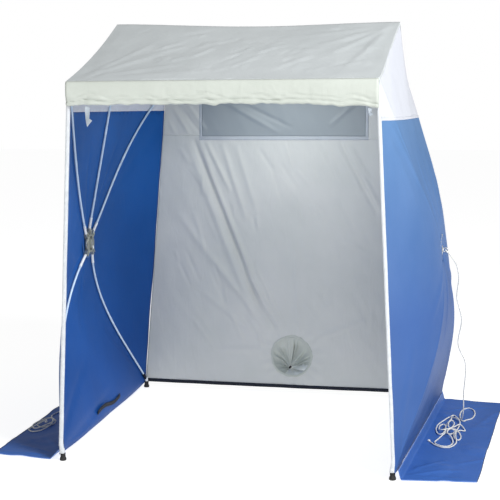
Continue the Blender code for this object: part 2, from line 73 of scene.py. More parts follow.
CORNERS = {
    "front_eave": (0.68, -HALF_DEPTH, EAVE_HEIGHT),
    "ridge": (0.688, 0.0, APEX_HEIGHT),
    "rear_eave": (0.695, HALF_DEPTH, EAVE_HEIGHT),
    "rear_foot": (0.84, HALF_DEPTH, 0.03),
    "front_foot": (0.757, -HALF_DEPTH, 0.03),
}
RODS = list(CORNERS)
FEET = ("front_foot", "rear_foot")
BOW = {
    "front_eave": (0.012, 0.4),
    "ridge": (0.0, 0.4),
    "rear_eave": (0.045, 0.6),
    "rear_foot": (0.06, 0.4),
    "front_foot": (0.068, 0.4),
}
WALL_SEEDS = {-1: 5, 1: 1}
ROD_STOPS_SHORT = {
    "front_eave": 0.05,
    "ridge": 0.045,
    "rear_eave": 0.05,
    "rear_foot": 0.026,
    "front_foot": 0.026,
}
SIDES = {"left": -1, "right": 1}

PORT_CENTRE = Vector((0.01, REAR_Y, 0.208))
PORT_RADIUS = 0.1085
PORT_THROAT = Vector((-0.003, 0.814, 0.14))
WINDOW = {"low_x": -0.494, "high_x": 0.42, "low_z": 1.425, "high_z": 1.645}


# Materials


def new_material(name, roughness, metallic=0.0, **sockets):
    """A Principled material. The sockets are ones that are the same all over."""
    made = bpy.data.materials.new(name)
    made.use_nodes = True
    shader = made.node_tree.nodes["Principled BSDF"]
    shader.inputs["Roughness"].default_value = roughness
    shader.inputs["Metallic"].default_value = metallic
    for socket, value in sockets.items():
        shader.inputs[socket.replace("_", " ")].default_value = value
    return made, made.node_tree.nodes, made.node_tree.links, shader


def add_node(nodes, kind, **values):
    made = nodes.new(kind)
    for key, value in values.items():
        if hasattr(made, key):
            setattr(made, key, value)
        else:
            made.inputs[key.replace("_", " ")].default_value = value
    return made


def mottle(nodes, links, shader, low, high, scale):
    """Base colour that drifts between two colours."""
    place = add_node(nodes, "ShaderNodeTexCoord")
    cloud = add_node(nodes, "ShaderNodeTexNoise", Scale=scale, Detail=4.0, Roughness=0.55)
    ramp = add_node(nodes, "ShaderNodeValToRGB")
    ramp.color_ramp.elements[0].position = 0.32
    ramp.color_ramp.elements[1].position = 0.68
    ramp.color_ramp.elements[0].color = (*low, 1)
    ramp.color_ramp.elements[1].color = (*high, 1)
    links.new(place.outputs["Object"], cloud.inputs["Vector"])
    links.new(cloud.outputs["Fac"], ramp.inputs["Fac"])
    links.new(ramp.outputs["Color"], shader.inputs["Base Color"])
    return place, ramp


def bump_chain(nodes, links, shader, sources):
    """Bump from several height outputs, each (output, distance, strength)."""
    normal = None
    for output, distance, strength in sources:
        bump = add_node(nodes, "ShaderNodeBump", Distance=distance, Strength=strength)
        links.new(output, bump.inputs["Height"])
        if normal is not None:
            links.new(normal, bump.inputs["Normal"])
        normal = bump.outputs["Normal"]
    links.new(normal, shader.inputs["Normal"])


def weave_height(nodes, links, place, pitch):
    """Threads across all three axes, so that any wall of cloth shows two of them."""
    total = None
    for axis in "XYZ":
        wave = add_node(nodes, "ShaderNodeTexWave", wave_type="BANDS", bands_direction=axis)
        wave.inputs["Scale"].default_value = 0.314 / pitch
        links.new(place.outputs["Object"], wave.inputs["Vector"])
        if total is None:
            total = wave.outputs["Fac"]
        else:
            plus = add_node(nodes, "ShaderNodeMath", operation="ADD")
            links.new(total, plus.inputs[0])
            links.new(wave.outputs["Fac"], plus.inputs[1])
            total = plus.outputs[0]
    return total


def cloth_material(
    name,
    low,
    high,
    roughness=0.55,
    crinkle=0.5,
    pitch=0.0012,
    sheen=0.15,
    gloss=0.4,
    foot=None,
    foot_top=0.15,
):
    """Coated nylon: a fine weave, soft crinkles and a little colour drift.

    foot is painted shade: what the colour is multiplied by from the ground up to foot_top, a share of the
    seam's height, so the cloth is darker towards the ground; above that it fades out.
    """
    _, nodes, links, shader = new_material(
        name, roughness, Sheen_Weight=sheen, Sheen_Roughness=0.4, Specular_IOR_Level=gloss
    )
    place, ramp = mottle(nodes, links, shader, low, high, 2.4)
    if foot is not None:
        # Painted shade: towards the ground the colour is multiplied by foot, fading out at foot_top.
        split = add_node(nodes, "ShaderNodeSeparateXYZ")
        ground_shade_ramp = add_node(nodes, "ShaderNodeValToRGB")
        ground_shade_ramp.color_ramp.elements[0].position = foot_top
        ground_shade_ramp.color_ramp.elements[0].color = (*foot, 1)
        ground_shade_ramp.color_ramp.elements[1].position = 1.0
        ground_shade_ramp.color_ramp.elements[1].color = (1, 1, 1, 1)
        height = add_node(nodes, "ShaderNodeMapRange")
        height.inputs["From Max"].default_value = SEAM_HEIGHT
        both = add_node(nodes, "ShaderNodeMixRGB", blend_type="MULTIPLY", Fac=1.0)
        links.new(place.outputs["Object"], split.inputs[0])
        links.new(split.outputs["Z"], height.inputs["Value"])
        links.new(height.outputs["Result"], ground_shade_ramp.inputs["Fac"])
        links.new(ramp.outputs["Color"], both.inputs["Color1"])
        links.new(ground_shade_ramp.outputs["Color"], both.inputs["Color2"])
        links.new(both.outputs["Color"], shader.inputs["Base Color"])
    fold = add_node(nodes, "ShaderNodeTexNoise", Scale=22.0, Detail=3.0, Distortion=1.2)
    stretch = add_node(nodes, "ShaderNodeMapping", Scale=(1.0, 0.7, 0.35))
    links.new(place.outputs["Object"], stretch.inputs["Vector"])
    links.new(stretch.outputs["Vector"], fold.inputs["Vector"])
    weave = weave_height(nodes, links, place, pitch)
    bump_chain(nodes, links, shader, [(fold.outputs["Fac"], 0.003, crinkle), (weave, 0.0001, 0.25)])
    return bpy.data.materials[name]


RIB_PITCH = 0.0022  # of the ribs across a tape


def webbing_material(name, low, high, sheen=0.2):
    """Coarse ribbed tape."""
    _, nodes, links, shader = new_material(name, 0.75, Sheen_Weight=sheen, Specular_IOR_Level=0.3)
    place, _ = mottle(nodes, links, shader, low, high, 40.0)
    ribs = weave_height(nodes, links, place, RIB_PITCH)
    bump_chain(nodes, links, shader, [(ribs, 0.0004, 0.6)])
    return bpy.data.materials[name]


def hard_material(name, low, high, roughness, metallic=0.0, grain=120.0, depth=0.0004, **sockets):
    """Moulded or cast: colour drift, fine grain and uneven gloss."""
    _, nodes, links, shader = new_material(name, roughness, metallic, **sockets)
    place, _ = mottle(nodes, links, shader, low, high, grain * 0.3)
    speck = add_node(nodes, "ShaderNodeTexNoise", Scale=grain * 4, Detail=3.0)
    links.new(place.outputs["Object"], speck.inputs["Vector"])
    gloss = add_node(nodes, "ShaderNodeMapRange")
    gloss.inputs["To Min"].default_value = max(roughness - 0.1, 0.05)
    gloss.inputs["To Max"].default_value = roughness + 0.12
    links.new(speck.outputs["Fac"], gloss.inputs["Value"])
    links.new(gloss.outputs["Result"], shader.inputs["Roughness"])
    bump_chain(nodes, links, shader, [(speck.outputs["Fac"], depth, 0.3)])
    return bpy.data.materials[name]


def rope_material(name):
    """Twisted cord: fibres over the strands that the mesh has."""
    _, nodes, links, shader = new_material(name, 0.8, Sheen_Weight=0.3)
    place, _ = mottle(nodes, links, shader, (0.62, 0.62, 0.57), (0.86, 0.86, 0.82), 90.0)
    hair = add_node(nodes, "ShaderNodeTexNoise", Scale=900.0, Detail=4.0)
    links.new(place.outputs["Object"], hair.inputs["Vector"])
    bump_chain(nodes, links, shader, [(hair.outputs["Fac"], 0.0006, 0.5)])
    return bpy.data.materials[name]


# Outer face of the side walls: paler and greyer than the flap cloth, which is painted sheen; foot darkens
# it towards the ground, which is painted shade.
BLUE = cloth_material(
    "blue_nylon",
    (0.087, 0.195, 0.392),
    (0.118, 0.232, 0.441),
    0.55,
    0.35,
    sheen=0.0,
    gloss=0.2,
    foot=(0.36, 0.48, 0.735),
    foot_top=0.42,
)
FLAP_BLUE = cloth_material(
    "flap_nylon", (0.036, 0.122, 0.41), (0.052, 0.15, 0.47), 0.5, 0.5, sheen=0.0, gloss=0.25
)
# Inner faces of the side walls: a darker copy of the blue, painted shade inside the tent; foot darkens it
# more towards the ground, also painted shade.
BLUE_INSIDE_SHADED = cloth_material(
    "blue_lining",
    (0.002, 0.074, 0.29),
    (0.005, 0.092, 0.35),
    0.55,
    0.35,
    sheen=0.0,
    gloss=0.25,
    foot=(0.8, 0.68, 0.78),
)
WHITE = cloth_material("white_nylon", (0.575, 0.6, 0.665), (0.64, 0.665, 0.73), 0.6, 0.45)
# Rear wall cloth: a darker, greyer white than the gables, painted shade inside the tent.
REAR_WHITE_SHADED = cloth_material("rear_nylon", (0.52, 0.545, 0.53), (0.585, 0.6, 0.585), 0.5, 0.7)
ROOF_WHITE = cloth_material("roof_nylon", (0.485, 0.52, 0.53), (0.54, 0.575, 0.585), 0.75, 0.6, gloss=0.2)
CREAM = cloth_material("door_nylon", (0.475, 0.51, 0.465), (0.54, 0.575, 0.53), 0.6, 0.6)
SLEEVE = cloth_material("port_nylon", (0.4, 0.44, 0.4), (0.5, 0.53, 0.5), 0.5, 0.8)
HEM_GREY = cloth_material("window_hem", (0.4, 0.44, 0.48), (0.46, 0.5, 0.54), 0.5, 0.6)
PIPING_BLUE = webbing_material("blue_piping", (0.13, 0.24, 0.56), (0.18, 0.3, 0.64))
# Door ties: white tape greyed down, painted shade.
TIE_TAPE_SHADED = webbing_material("tie_tape", (0.34, 0.39, 0.44), (0.42, 0.47, 0.52))
HEM_NAVY = webbing_material("navy_hem", (0.03, 0.05, 0.12), (0.05, 0.075, 0.16))
# A lighter copy of the sleeve cloth for its lower sector, which faces up in the recess: painted light.
SLEEVE_PAINTED_LIGHT = cloth_material("port_hem", (0.6, 0.64, 0.62), (0.7, 0.73, 0.71), 0.5, 0.8)
FILM = cloth_material("window_film", (0.281, 0.264, 0.25), (0.322, 0.304, 0.288), 0.45, 0.6, 0.0018)
TAPE = webbing_material("white_tape", (0.6, 0.63, 0.66), (0.7, 0.73, 0.76))
DARK_TAPE = webbing_material("navy_webbing", (0.005, 0.008, 0.016), (0.011, 0.015, 0.027), sheen=0.0)
GLASS_FIBRE = hard_material(
    "glass_fibre", (0.56, 0.7, 0.84), (0.7, 0.8, 0.9), 0.28, Coat_Weight=0.3, Coat_Roughness=0.2
)
FERRULE = hard_material("ferrule", (0.72, 0.75, 0.76), (0.85, 0.87, 0.88), 0.35)
ALLOY = hard_material("cast_alloy", (0.3, 0.31, 0.26), (0.46, 0.47, 0.41), 0.42, 0.75, 60.0, 0.0008)
STEEL = hard_material("plated_steel", (0.5, 0.51, 0.52), (0.66, 0.66, 0.66), 0.25, 1.0)
RUBBER = hard_material("black_rubber", (0.01, 0.01, 0.011), (0.03, 0.03, 0.03), 0.65)
PLASTIC = hard_material("black_plastic", (0.012, 0.012, 0.013), (0.028, 0.028, 0.028), 0.38)
ROPE = rope_material("guy_rope_fibre")
THREAD = hard_material("thread", (0.6, 0.63, 0.66), (0.72, 0.75, 0.78), 0.7, grain=300.0)


# Mesh building


def object_of(name, data, finish):
    made = bpy.data.objects.new(name, data)
    bpy.context.collection.objects.link(made)
    data.materials.clear()
    data.materials.append(finish)
    return made


def finish_mesh(name, bm, angle=40.0):
    bmesh.ops.recalc_face_normals(bm, faces=bm.faces)
    data = bpy.data.meshes.new(name)
    bm.to_mesh(data)
    bm.free()
    data.shade_smooth()
    data.set_sharp_from_angle(angle=math.radians(angle))
    return data


def grid_mesh(points, keep=None, closed=False):
    """Quads over an array of points (rows, columns, 3). keep says which quads stay."""
    rows, columns, _ = points.shape
    bm = bmesh.new()
    verts = [[bm.verts.new(points[r, c]) for c in range(columns)] for r in range(rows)]
    for r in range(rows - 1):
        for c in range(columns if closed else columns - 1):
            if keep is not None and not keep[r, c]:
                continue
            n = (c + 1) % columns
            bm.faces.new((verts[r][c], verts[r][n], verts[r + 1][n], verts[r + 1][c]))
    loose = [v for v in bm.verts if not v.link_faces]
    bmesh.ops.delete(bm, geom=loose, context="VERTS")
    return bm


def thicken(made, thickness=CLOTH, inner_finish=None):
    modifier = made.modifiers.new("thickness", "SOLIDIFY")
    if inner_finish is not None:
        made.data.materials.append(inner_finish)
        modifier.material_offset = 1
    modifier.thickness = thickness
    modifier.offset = 0.0
    modifier.use_even_offset = False
    return made


def cloth_of(name, bm, finish, thickness=CLOTH, angle=80.0):
    """A thickened piece of cloth or tape from an open mesh."""
    return thicken(object_of(name, finish_mesh(name, bm, angle), finish), thickness)


def revolve(name, profile, axis, centre, sides, finish, angle=40.0):
    """A turned piece. The profile is a list of (radius, along) points; radius 0 is a pole."""
    bm = bmesh.new()
    frame_of = Vector((0, 0, 1)).rotation_difference(Vector(axis)).to_matrix()
    rings = []
    for radius, along in profile:
        if radius <= 0:
            rings.append([bm.verts.new(centre + frame_of @ Vector((0, 0, along)))])
            continue
        ring = []
        for k in range(sides):
            a = math.tau * k / sides
            flat = Vector((radius * math.cos(a), radius * math.sin(a), along))
            ring.append(bm.verts.new(centre + frame_of @ flat))
        rings.append(ring)
    for low, high in zip(rings, rings[1:]):
        for k in range(sides):
            n = (k + 1) % sides
            if len(low) == 1 and len(high) == 1:
                continue
            if len(low) == 1:
                bm.faces.new((low[0], high[n], high[k]))
            elif len(high) == 1:
                bm.faces.new((low[k], low[n], high[0]))
            else:
                bm.faces.new((low[k], low[n], high[n], high[k]))
    if len(rings[0]) > 1 and len(rings[-1]) > 1:
        for k in range(sides):
            n = (k + 1) % sides
            bm.faces.new((rings[-1][k], rings[-1][n], rings[0][n], rings[0][k]))
    return object_of(name, finish_mesh(name, bm, angle), finish)


def frames_along(points):
    """A right and an up direction at each point, turned as little as possible."""
    tangents = []
    for i in range(len(points)):
        before, after = points[max(i - 1, 0)], points[min(i + 1, len(points) - 1)]
        tangents.append((after - before).normalized())
    side = tangents[0].orthogonal().normalized()
    frames = []
    for i, tangent in enumerate(tangents):
        if i:
            side = tangents[i - 1].rotation_difference(tangent) @ side
        side = (side - tangent * side.dot(tangent)).normalized()
        frames.append((side, tangent.cross(side)))
    return frames


def tube_bm(bm, points, radius_at, sides=12, strands=0, lay=0.02, groove=0.12, closed=False):
    """Adds a tube along points. radius_at takes the share along; strands give it a twist."""
    points = [Vector(p) for p in points]
    frames = frames_along(points)
    travelled = 0.0
    rings = []
    for i, point in enumerate(points):
        if i:
            travelled += (point - points[i - 1]).length
        side, up = frames[i]
        radius = radius_at(i / (len(points) - 1))
        turn = math.tau * travelled / lay
        ring = []
        for k in range(sides):
            a = math.tau * k / sides
            r = radius
            if strands:
                r *= 1 - groove + groove * abs(math.cos((a * strands + turn * strands) / 2)) * 1.6
            ring.append(bm.verts.new(point + (side * math.cos(a) + up * math.sin(a)) * r))
        rings.append(ring)
    pairs = list(zip(rings, rings[1:]))
    if closed:
        pairs.append((rings[-1], rings[0]))
    for a, b in pairs:
        for k in range(sides):
            n = (k + 1) % sides
            bm.faces.new((a[k], a[n], b[n], b[k]))
    if not closed:
        bm.faces.new(rings[0][::-1])
        bm.faces.new(rings[-1])
    return bm


def tube(name, points, radius, finish, slot=None, sides=16, **more):
    radius_at = radius if callable(radius) else (lambda share: radius)
    bm = tube_bm(bmesh.new(), points, radius_at, sides, **more)
    return object_of(name, finish_mesh(name, bm, 60.0), finish)


def smooth_route(points, per_stretch):
    """Points read from one smooth curve through the route's own points."""
    route = [Vector(p) for p in points]
    out = []
    for i in range(len(route) - 1):
        before = route[max(i - 1, 0)]
        after = route[min(i + 2, len(route) - 1)]
        a, b = route[i], route[i + 1]
        lean_a = (b - before) / 6
        lean_b = (after - a) / 6
        out += interpolate_bezier(a, a + lean_a, b - lean_b, b, per_stretch + 1)[:-1]
    return out + [route[-1]]


def even(points, step):
    """The same line with its points a step apart."""
    at = np.array([tuple(p) for p in points])
    runs = np.concatenate([[0], np.cumsum(np.linalg.norm(np.diff(at, axis=0), axis=1))])
    marks = np.linspace(0, runs[-1], max(int(runs[-1] / step), 2) + 1)
    return [Vector([np.interp(m, runs, at[:, k]) for k in range(3)]) for m in marks]


def circle(centre, radius, count, across, up=(0, 0, 1)):
    """Points round a circle that two directions span."""
    turns = [math.tau * k / count for k in range(count)]
    across, up = Vector(across) * radius, Vector(up) * radius
    return [centre + across * math.cos(a) + up * math.sin(a) for a in turns]


def waves(u, v, scale, seed, depth=1.0):
    """Smooth noise from -depth to depth over arrays u and v."""
    flat = [
        noise.noise(Vector((a / scale, b / scale, seed * 7.31)))
        for a, b in zip(np.ravel(u), np.ravel(v))
    ]
    return depth * np.array(flat).reshape(np.shape(u))


def crease(u, v, start, end, width, height):
    """A fold along a line from start to end, which fades towards both ends."""
    start, end = np.array(start, float), np.array(end, float)
    run = end - start
    length = np.linalg.norm(run)
    run = run / length
    along = ((u - start[0]) * run[0] + (v - start[1]) * run[1]) / length
    aside = (u - start[0]) * -run[1] + (v - start[1]) * run[0]
    inside = np.clip(along, 0, 1) * np.clip(1 - along, 0, 1) * 4
    return height * np.exp(-((aside / width) ** 2)) * np.sqrt(inside)


def scatter(seed, count, low, high, lean, spread, reach, height):
    """Short creases strewn over a rectangle: start, end, width, height for each."""
    rng = np.random.default_rng(seed)
    made = []
    for _ in range(count):
        at = np.array(low) + (np.array(high) - np.array(low)) * rng.uniform(0, 1, 2)
        turn = math.radians(lean + spread * rng.normal())
        long = reach * rng.uniform(0.5, 1.6)
        way = np.array([math.cos(turn), math.sin(turn)]) * long / 2
        size = height * rng.uniform(0.4, 1.2) * rng.choice([-1, 1, 1])
        made.append((tuple(at - way), tuple(at + way), rng.uniform(0.006, 0.013), size))
    return made


def smooth_step(value, low, high):
    share = np.clip((value - low) / (high - low), 0, 1)
    return share * share * (3 - 2 * share)


def box_edge_fade(u, low, high, width):
    """0 at both edges and 1 further in than the width."""
    return smooth_step(np.minimum(u - low, high - u), 0, width)


# Side frame geometry: the CAD's, pulled a little out of true


def mirrored(side, point):
    return Vector((side * point[0], point[1], point[2]))


REAR_CORNER_PULL = 0.062  # how far the right rear corner's cloth is pulled inwards
PULL_HEIGHTS = (1.02, 1.54)  # where the pull starts, and where it is strongest


def out_of_true(points):
    """The stretched tent isn't square.

    The ridge sits a little to the left and rises to its left end, and the right wall
    is drawn inwards at its upper rear corner.
    """
    points = np.array(points, dtype=float)
    x, y, z = points[..., 0].copy(), points[..., 1], points[..., 2].copy()
    high = np.clip((z - EAVE_HEIGHT) / (APEX_HEIGHT - EAVE_HEIGHT), 0, 1)
    share = x / CORNERS["ridge"][0]
    points[..., 0] -= high * (0.0145 - 0.0055 * share)
    points[..., 2] += high * 0.0075 * (1 - share)
    start, peak = PULL_HEIGHTS
    below = np.cos(np.clip((peak - z) / (peak - start), 0, 1) * math.pi / 2) ** 2
    above = np.cos(np.clip((z - peak) / (APEX_HEIGHT - peak), 0, 1) * math.pi / 2)
    pull = REAR_CORNER_PULL * np.where(z < peak, below, above)
    points[..., 0] -= pull * smooth_step(y, -HALF_DEPTH, 0.53) * smooth_step(x, 0.45, 0.685)
    return points


def leaning(line):
    return [Vector(point) for point in out_of_true([tuple(p) for p in line])]


def radial(rod):
    """The rod's direction from the hub in the side's own plane."""
    _, y, z = CORNERS[rod]
    return Vector((0.0, y, z - HUB_HEIGHT)).normalized()


def bow_share(share, peak):
    """0 at both ends and 1 at the peak."""
    rise, fall = 2.5 * peak, 2.5 * (1 - peak)
    share = min(max(share, 0.0), 1.0)
    top = peak**rise * (1 - peak) ** fall
    return share**rise * (1 - share) ** fall / top


def rod_point(rod, share):
    """A point of the rod's centre line, from its pivot at 0 to the wall's corner at 1."""
    corner = Vector(CORNERS[rod])
    corner.x -= CLOTH_OFF_ROD
    pivot = Vector((HINGE_X, 0.0, HUB_HEIGHT)) + radial(rod) * HINGE_RADIUS
    amount, peak = BOW[rod]
    point = pivot.lerp(corner, share)
    point.x += amount * bow_share(share, peak)
    return point


def wall_point(rod_a, rod_b, share, across):
    """A point of the side cloth between two rods."""
    point = rod_point(rod_a, share).lerp(rod_point(rod_b, share), across)
    point.x += CLOTH_OFF_ROD
    return point


def edge_share(rod_a, rod_b, across):
    """How far out the cloth reaches: hollow at the verges, down to the ground below."""
    length = (rod_point(rod_a, 1.0) - rod_point(rod_a, 0.0)).length
    if "ridge" in (rod_a, rod_b):
        return 1.0 - VERGE_DIP * 4 * across * (1 - across) / length
    if rod_a == "rear_foot":
        drop = CORNERS["rear_foot"][2] - 0.022
        return 1.0 + drop * (1 - abs(2 * across - 1) ** 8) / (HUB_HEIGHT - 0.03)
    return 1.0


def follow_hub(made):
    """Bakes the piece's placement into its mesh.
    """
    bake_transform(made)


def distance_to_rods(y, z):
    """Distance in the side's plane from each point to the nearest rod's line."""
    nearest = np.full(np.shape(y), 9.0)
    for rod in RODS:
        way = radial(rod)
        run = y * way.y + (z - HUB_HEIGHT) * way.z
        off = np.abs(y * way.z - (z - HUB_HEIGHT) * way.y)
        nearest = np.where(run > 0, np.minimum(nearest, off), nearest)
    return nearest


# Folds of a side wall in its own plane: start, end (y, z), width, height.
WALL_FOLDS = [
    ((-0.76, 0.06), (-0.1, 0.33), 0.016, 0.004), ((-0.765, 0.05), (-0.33, 0.43), 0.014, 0.0035),
    ((-0.755, 0.09), (-0.56, 0.56), 0.012, 0.003), ((-0.7, 0.03), (0.2, 0.12), 0.018, 0.0035),
    ((-0.74, 1.5), (-0.42, 1.18), 0.014, 0.0025), ((-0.69, 1.53), (-0.18, 1.12), 0.016, 0.003),
    ((0.74, 0.08), (0.3, 0.42), 0.018, 0.0035), ((0.755, 1.48), (0.38, 1.16), 0.018, 0.003),
    ((-0.06, 0.86), (-0.42, 0.62), 0.015, 0.0025), ((0.06, 0.86), (0.48, 0.64), 0.015, 0.0025),
    ((0.0, 0.83), (-0.06, 0.44), 0.014, 0.0025), ((-0.03, 0.98), (-0.2, 1.42), 0.014, 0.0022),
    ((0.04, 0.99), (0.26, 1.4), 0.014, 0.0022),
]


def wall_relief(y, z, seed):
    """How far the side cloth stands out from its smooth shape. Never inwards at a rod."""
    rod = distance_to_rods(y, z)
    reach = np.hypot(y, z - HUB_HEIGHT)
    free = np.clip(rod / 0.06, 0, 1) * np.clip((reach - 0.07) / 0.12, 0, 1)
    relief = 0.0012 * np.exp(-((rod / 0.007) ** 2)) * np.clip((reach - 0.07) / 0.05, 0, 1)
    relief = relief + free * (waves(y, z, 0.32, seed, 0.0045) + waves(y, z, 0.09, seed + 3, 0.0012))
    for start, end, width, height in WALL_FOLDS:
        relief = relief + crease(y, z, start, end, width, height * 1.7) * np.clip(rod / 0.02, 0.15, 1)
    return relief


def sector_points(side, rod_a, rod_b):
    """The side cloth between two rods as an array of points, hub first."""
    rows, columns = 44, 44
    out = np.zeros((rows + 1, columns + 1, 3))
    for r in range(rows + 1):
        for c in range(columns + 1):
            across = 0.5 - 0.5 * math.cos(math.pi * c / columns)
            share = r / rows * edge_share(rod_a, rod_b, across)
            out[r, c] = wall_point(rod_a, rod_b, share, across)
    out[:, :, 0] += wall_relief(out[:, :, 1], out[:, :, 2], WALL_SEEDS[side])
    out[:, :, 0] *= side
    return out_of_true(out)


def seam_height(side):
    return SEAM_HEIGHT - side * SEAM_TILT


def split_at_seam(name, points, above, side):
    """The part of the grid above or below the seam between blue and white."""
    bm = grid_mesh(points)
    geometry = bm.verts[:] + bm.edges[:] + bm.faces[:]
    bmesh.ops.bisect_plane(
        bm,
        geom=geometry,
        plane_co=(0, 0, seam_height(side)),
        plane_no=(0, 0, 1),
        clear_inner=above,
        clear_outer=not above,
    )
    return bm


def side_walls():
    """Blue walls and white gables, one piece of cloth between each pair of rods."""
    for side_name, side in SIDES.items():
        for i, rod_a in enumerate(RODS):
            rod_b = RODS[(i + 1) % len(RODS)]
            points = sector_points(side, rod_a, rod_b)
            for above, node, finish, slot in (
                (False, "side_wall", BLUE, "blue_cloth"),
                (True, "gable", WHITE, "white_cloth"),
            ):
                if above and rod_a == "rear_foot":
                    continue
                name = f"{side_name}_{node}_{rod_a}_to_{rod_b}"
                bm = split_at_seam(name, points, above, side)
                made = object_of(name, finish_mesh(name, bm, 80.0), finish)
                # The inner faces get the darker blue, painted shade.
                thicken(made, inner_finish=None if above else BLUE_INSIDE_SHADED)
                follow_hub(made)
                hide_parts(f"{side_name}_{node}")
        for rod_a, rod_b in zip(("front_foot", "front_eave", "ridge", "rear_eave"), RODS):
            seam_tape(side_name, side, rod_a, rod_b)


def wall_x(rod_a, rod_b, y, z):
    """The smooth side cloth's x at a place in its plane, in the sector between two rods."""
    a, b = radial(rod_a), radial(rod_b)
    far_a = math.hypot(CORNERS[rod_a][1], CORNERS[rod_a][2] - HUB_HEIGHT) - HINGE_RADIUS
    far_b = math.hypot(CORNERS[rod_b][1], CORNERS[rod_b][2] - HUB_HEIGHT) - HINGE_RADIUS
    area = a.y * b.z - a.z * b.y
    on_a = (y * b.z - (z - HUB_HEIGHT) * b.y) / area
    on_b = (a.y * (z - HUB_HEIGHT) - a.z * y) / area
    low, high = 0.0, 1.3
    for _ in range(40):
        share = (low + high) / 2
        reach_a = HINGE_RADIUS + share * far_a
        reach_b = HINGE_RADIUS + share * far_b
        if on_a / reach_a + on_b / reach_b > 1:
            low = share
        else:
            high = share
    return wall_point(rod_a, rod_b, share, min(max(on_b / reach_b, 0), 1)).x


def seam_tape(side_name, side, rod_a, rod_b):
    """The felled seam where white meets blue, a narrow raised band between two rods."""
    half = 0.0055
    ends = []
    for rod in (rod_a, rod_b):
        way = radial(rod)
        reach = way.y / max(way.z, 0.05) * (seam_height(side) - HUB_HEIGHT)
        ends.append(min(max(reach, -HALF_DEPTH), HALF_DEPTH))
    start, end = ends
    if rod_b == "front_eave":
        start = -HALF_DEPTH
    if rod_a == "rear_eave":
        end = HALF_DEPTH
    rows = []
    for off, lift in ((-half, 0.0006), (-half * 0.9, 0.0018), (half * 0.9, 0.0018), (half, 0.0006)):
        z = seam_height(side) + off
        row = []
        for k in range(41):
            y = start + (end - start) * k / 40
            relief = float(wall_relief(np.array([y]), np.array([z]), WALL_SEEDS[side])[0])
            row.append((side * (wall_x(rod_a, rod_b, y, z) + relief + lift), y, z))
        rows.append(row)
    name = f"{side_name}_seam_{rod_a}_to_{rod_b}"
    made = cloth_of(name, grid_mesh(out_of_true(rows)), WHITE, 0.0006)
    follow_hub(made)


# Roof

# Creases of the roof's two slopes, in u (-1 left to 1 right) and v (0 ridge to 1 eave).
FRONT_SLOPE_FOLDS = [
    ((-0.97, 0.97), (-0.3, 0.72), 0.02, 0.005), ((-0.96, 0.93), (-0.48, 0.5), 0.018, 0.005),
    ((-0.94, 0.98), (-0.1, 0.86), 0.02, 0.0045), ((-0.9, 0.85), (-0.62, 0.34), 0.016, 0.004),
    ((-0.7, 0.62), (-0.38, 0.4), 0.015, 0.004), ((-0.52, 0.72), (-0.2, 0.55), 0.014, 0.0035),
    ((-0.6, 0.5), (-0.4, 0.28), 0.012, 0.0035), ((0.98, 0.04), (0.62, 0.56), 0.018, 0.005),
    ((0.97, 0.06), (0.5, 0.42), 0.018, 0.0045), ((0.95, 0.12), (0.76, 0.8), 0.018, 0.0045),
    ((0.96, 0.05), (0.3, 0.26), 0.02, 0.0035), ((0.1, 0.52), (0.26, 0.3), 0.014, 0.0035),
    ((0.02, 0.8), (0.2, 0.58), 0.014, 0.004), ((-0.02, 0.62), (0.1, 0.44), 0.012, 0.003),
    ((0.3, 0.86), (0.52, 0.6), 0.014, 0.003),
]


SLOPE_WRINKLES = scatter(5, 30, (-0.66, -0.76), (0.66, -0.3), 48, 14, 0.11, 0.0046)
SLOPE_WRINKLES += scatter(6, 14, (-0.66, -0.4), (0.66, -0.06), 40, 22, 0.1, 0.0036)
SLOPE_WRINKLES += scatter(7, 34, (-0.66, 0.1), (0.66, 0.76), -48, 18, 0.11, 0.0042)


def roof_point(u, v):
    """A point of the roof cloth; u and v reach a little past 1 for the turned-down hem."""
    rise = APEX_HEIGHT - EAVE_HEIGHT
    over_u, over_v = max(abs(u) - 1, 0), max(abs(v) - 1, 0)
    cu, cv = min(max(u, -1), 1), min(max(v, -1), 1)
    eave = CORNERS["front_eave" if v < 0 else "rear_eave"][0]
    half = CORNERS["ridge"][0] * (1 - abs(cv)) + eave * abs(cv) + 0.003
    sag = RIDGE_SAG * (1 - cu * cu) ** 2 * (1 - abs(cv))
    dip = VERGE_DIP * 4 * abs(cv) * (1 - abs(cv)) * cu * cu
    z = APEX_HEIGHT + 0.003 - rise * abs(cv) - sag - dip - over_u * 0.55 - over_v * 0.6
    x = cu * half + math.copysign(min(over_u, 0.02) * 0.12, u)
    y = cv * (HALF_DEPTH + 0.001) + math.copysign(min(over_v, 0.02) * 0.12, v)
    return x, y, z


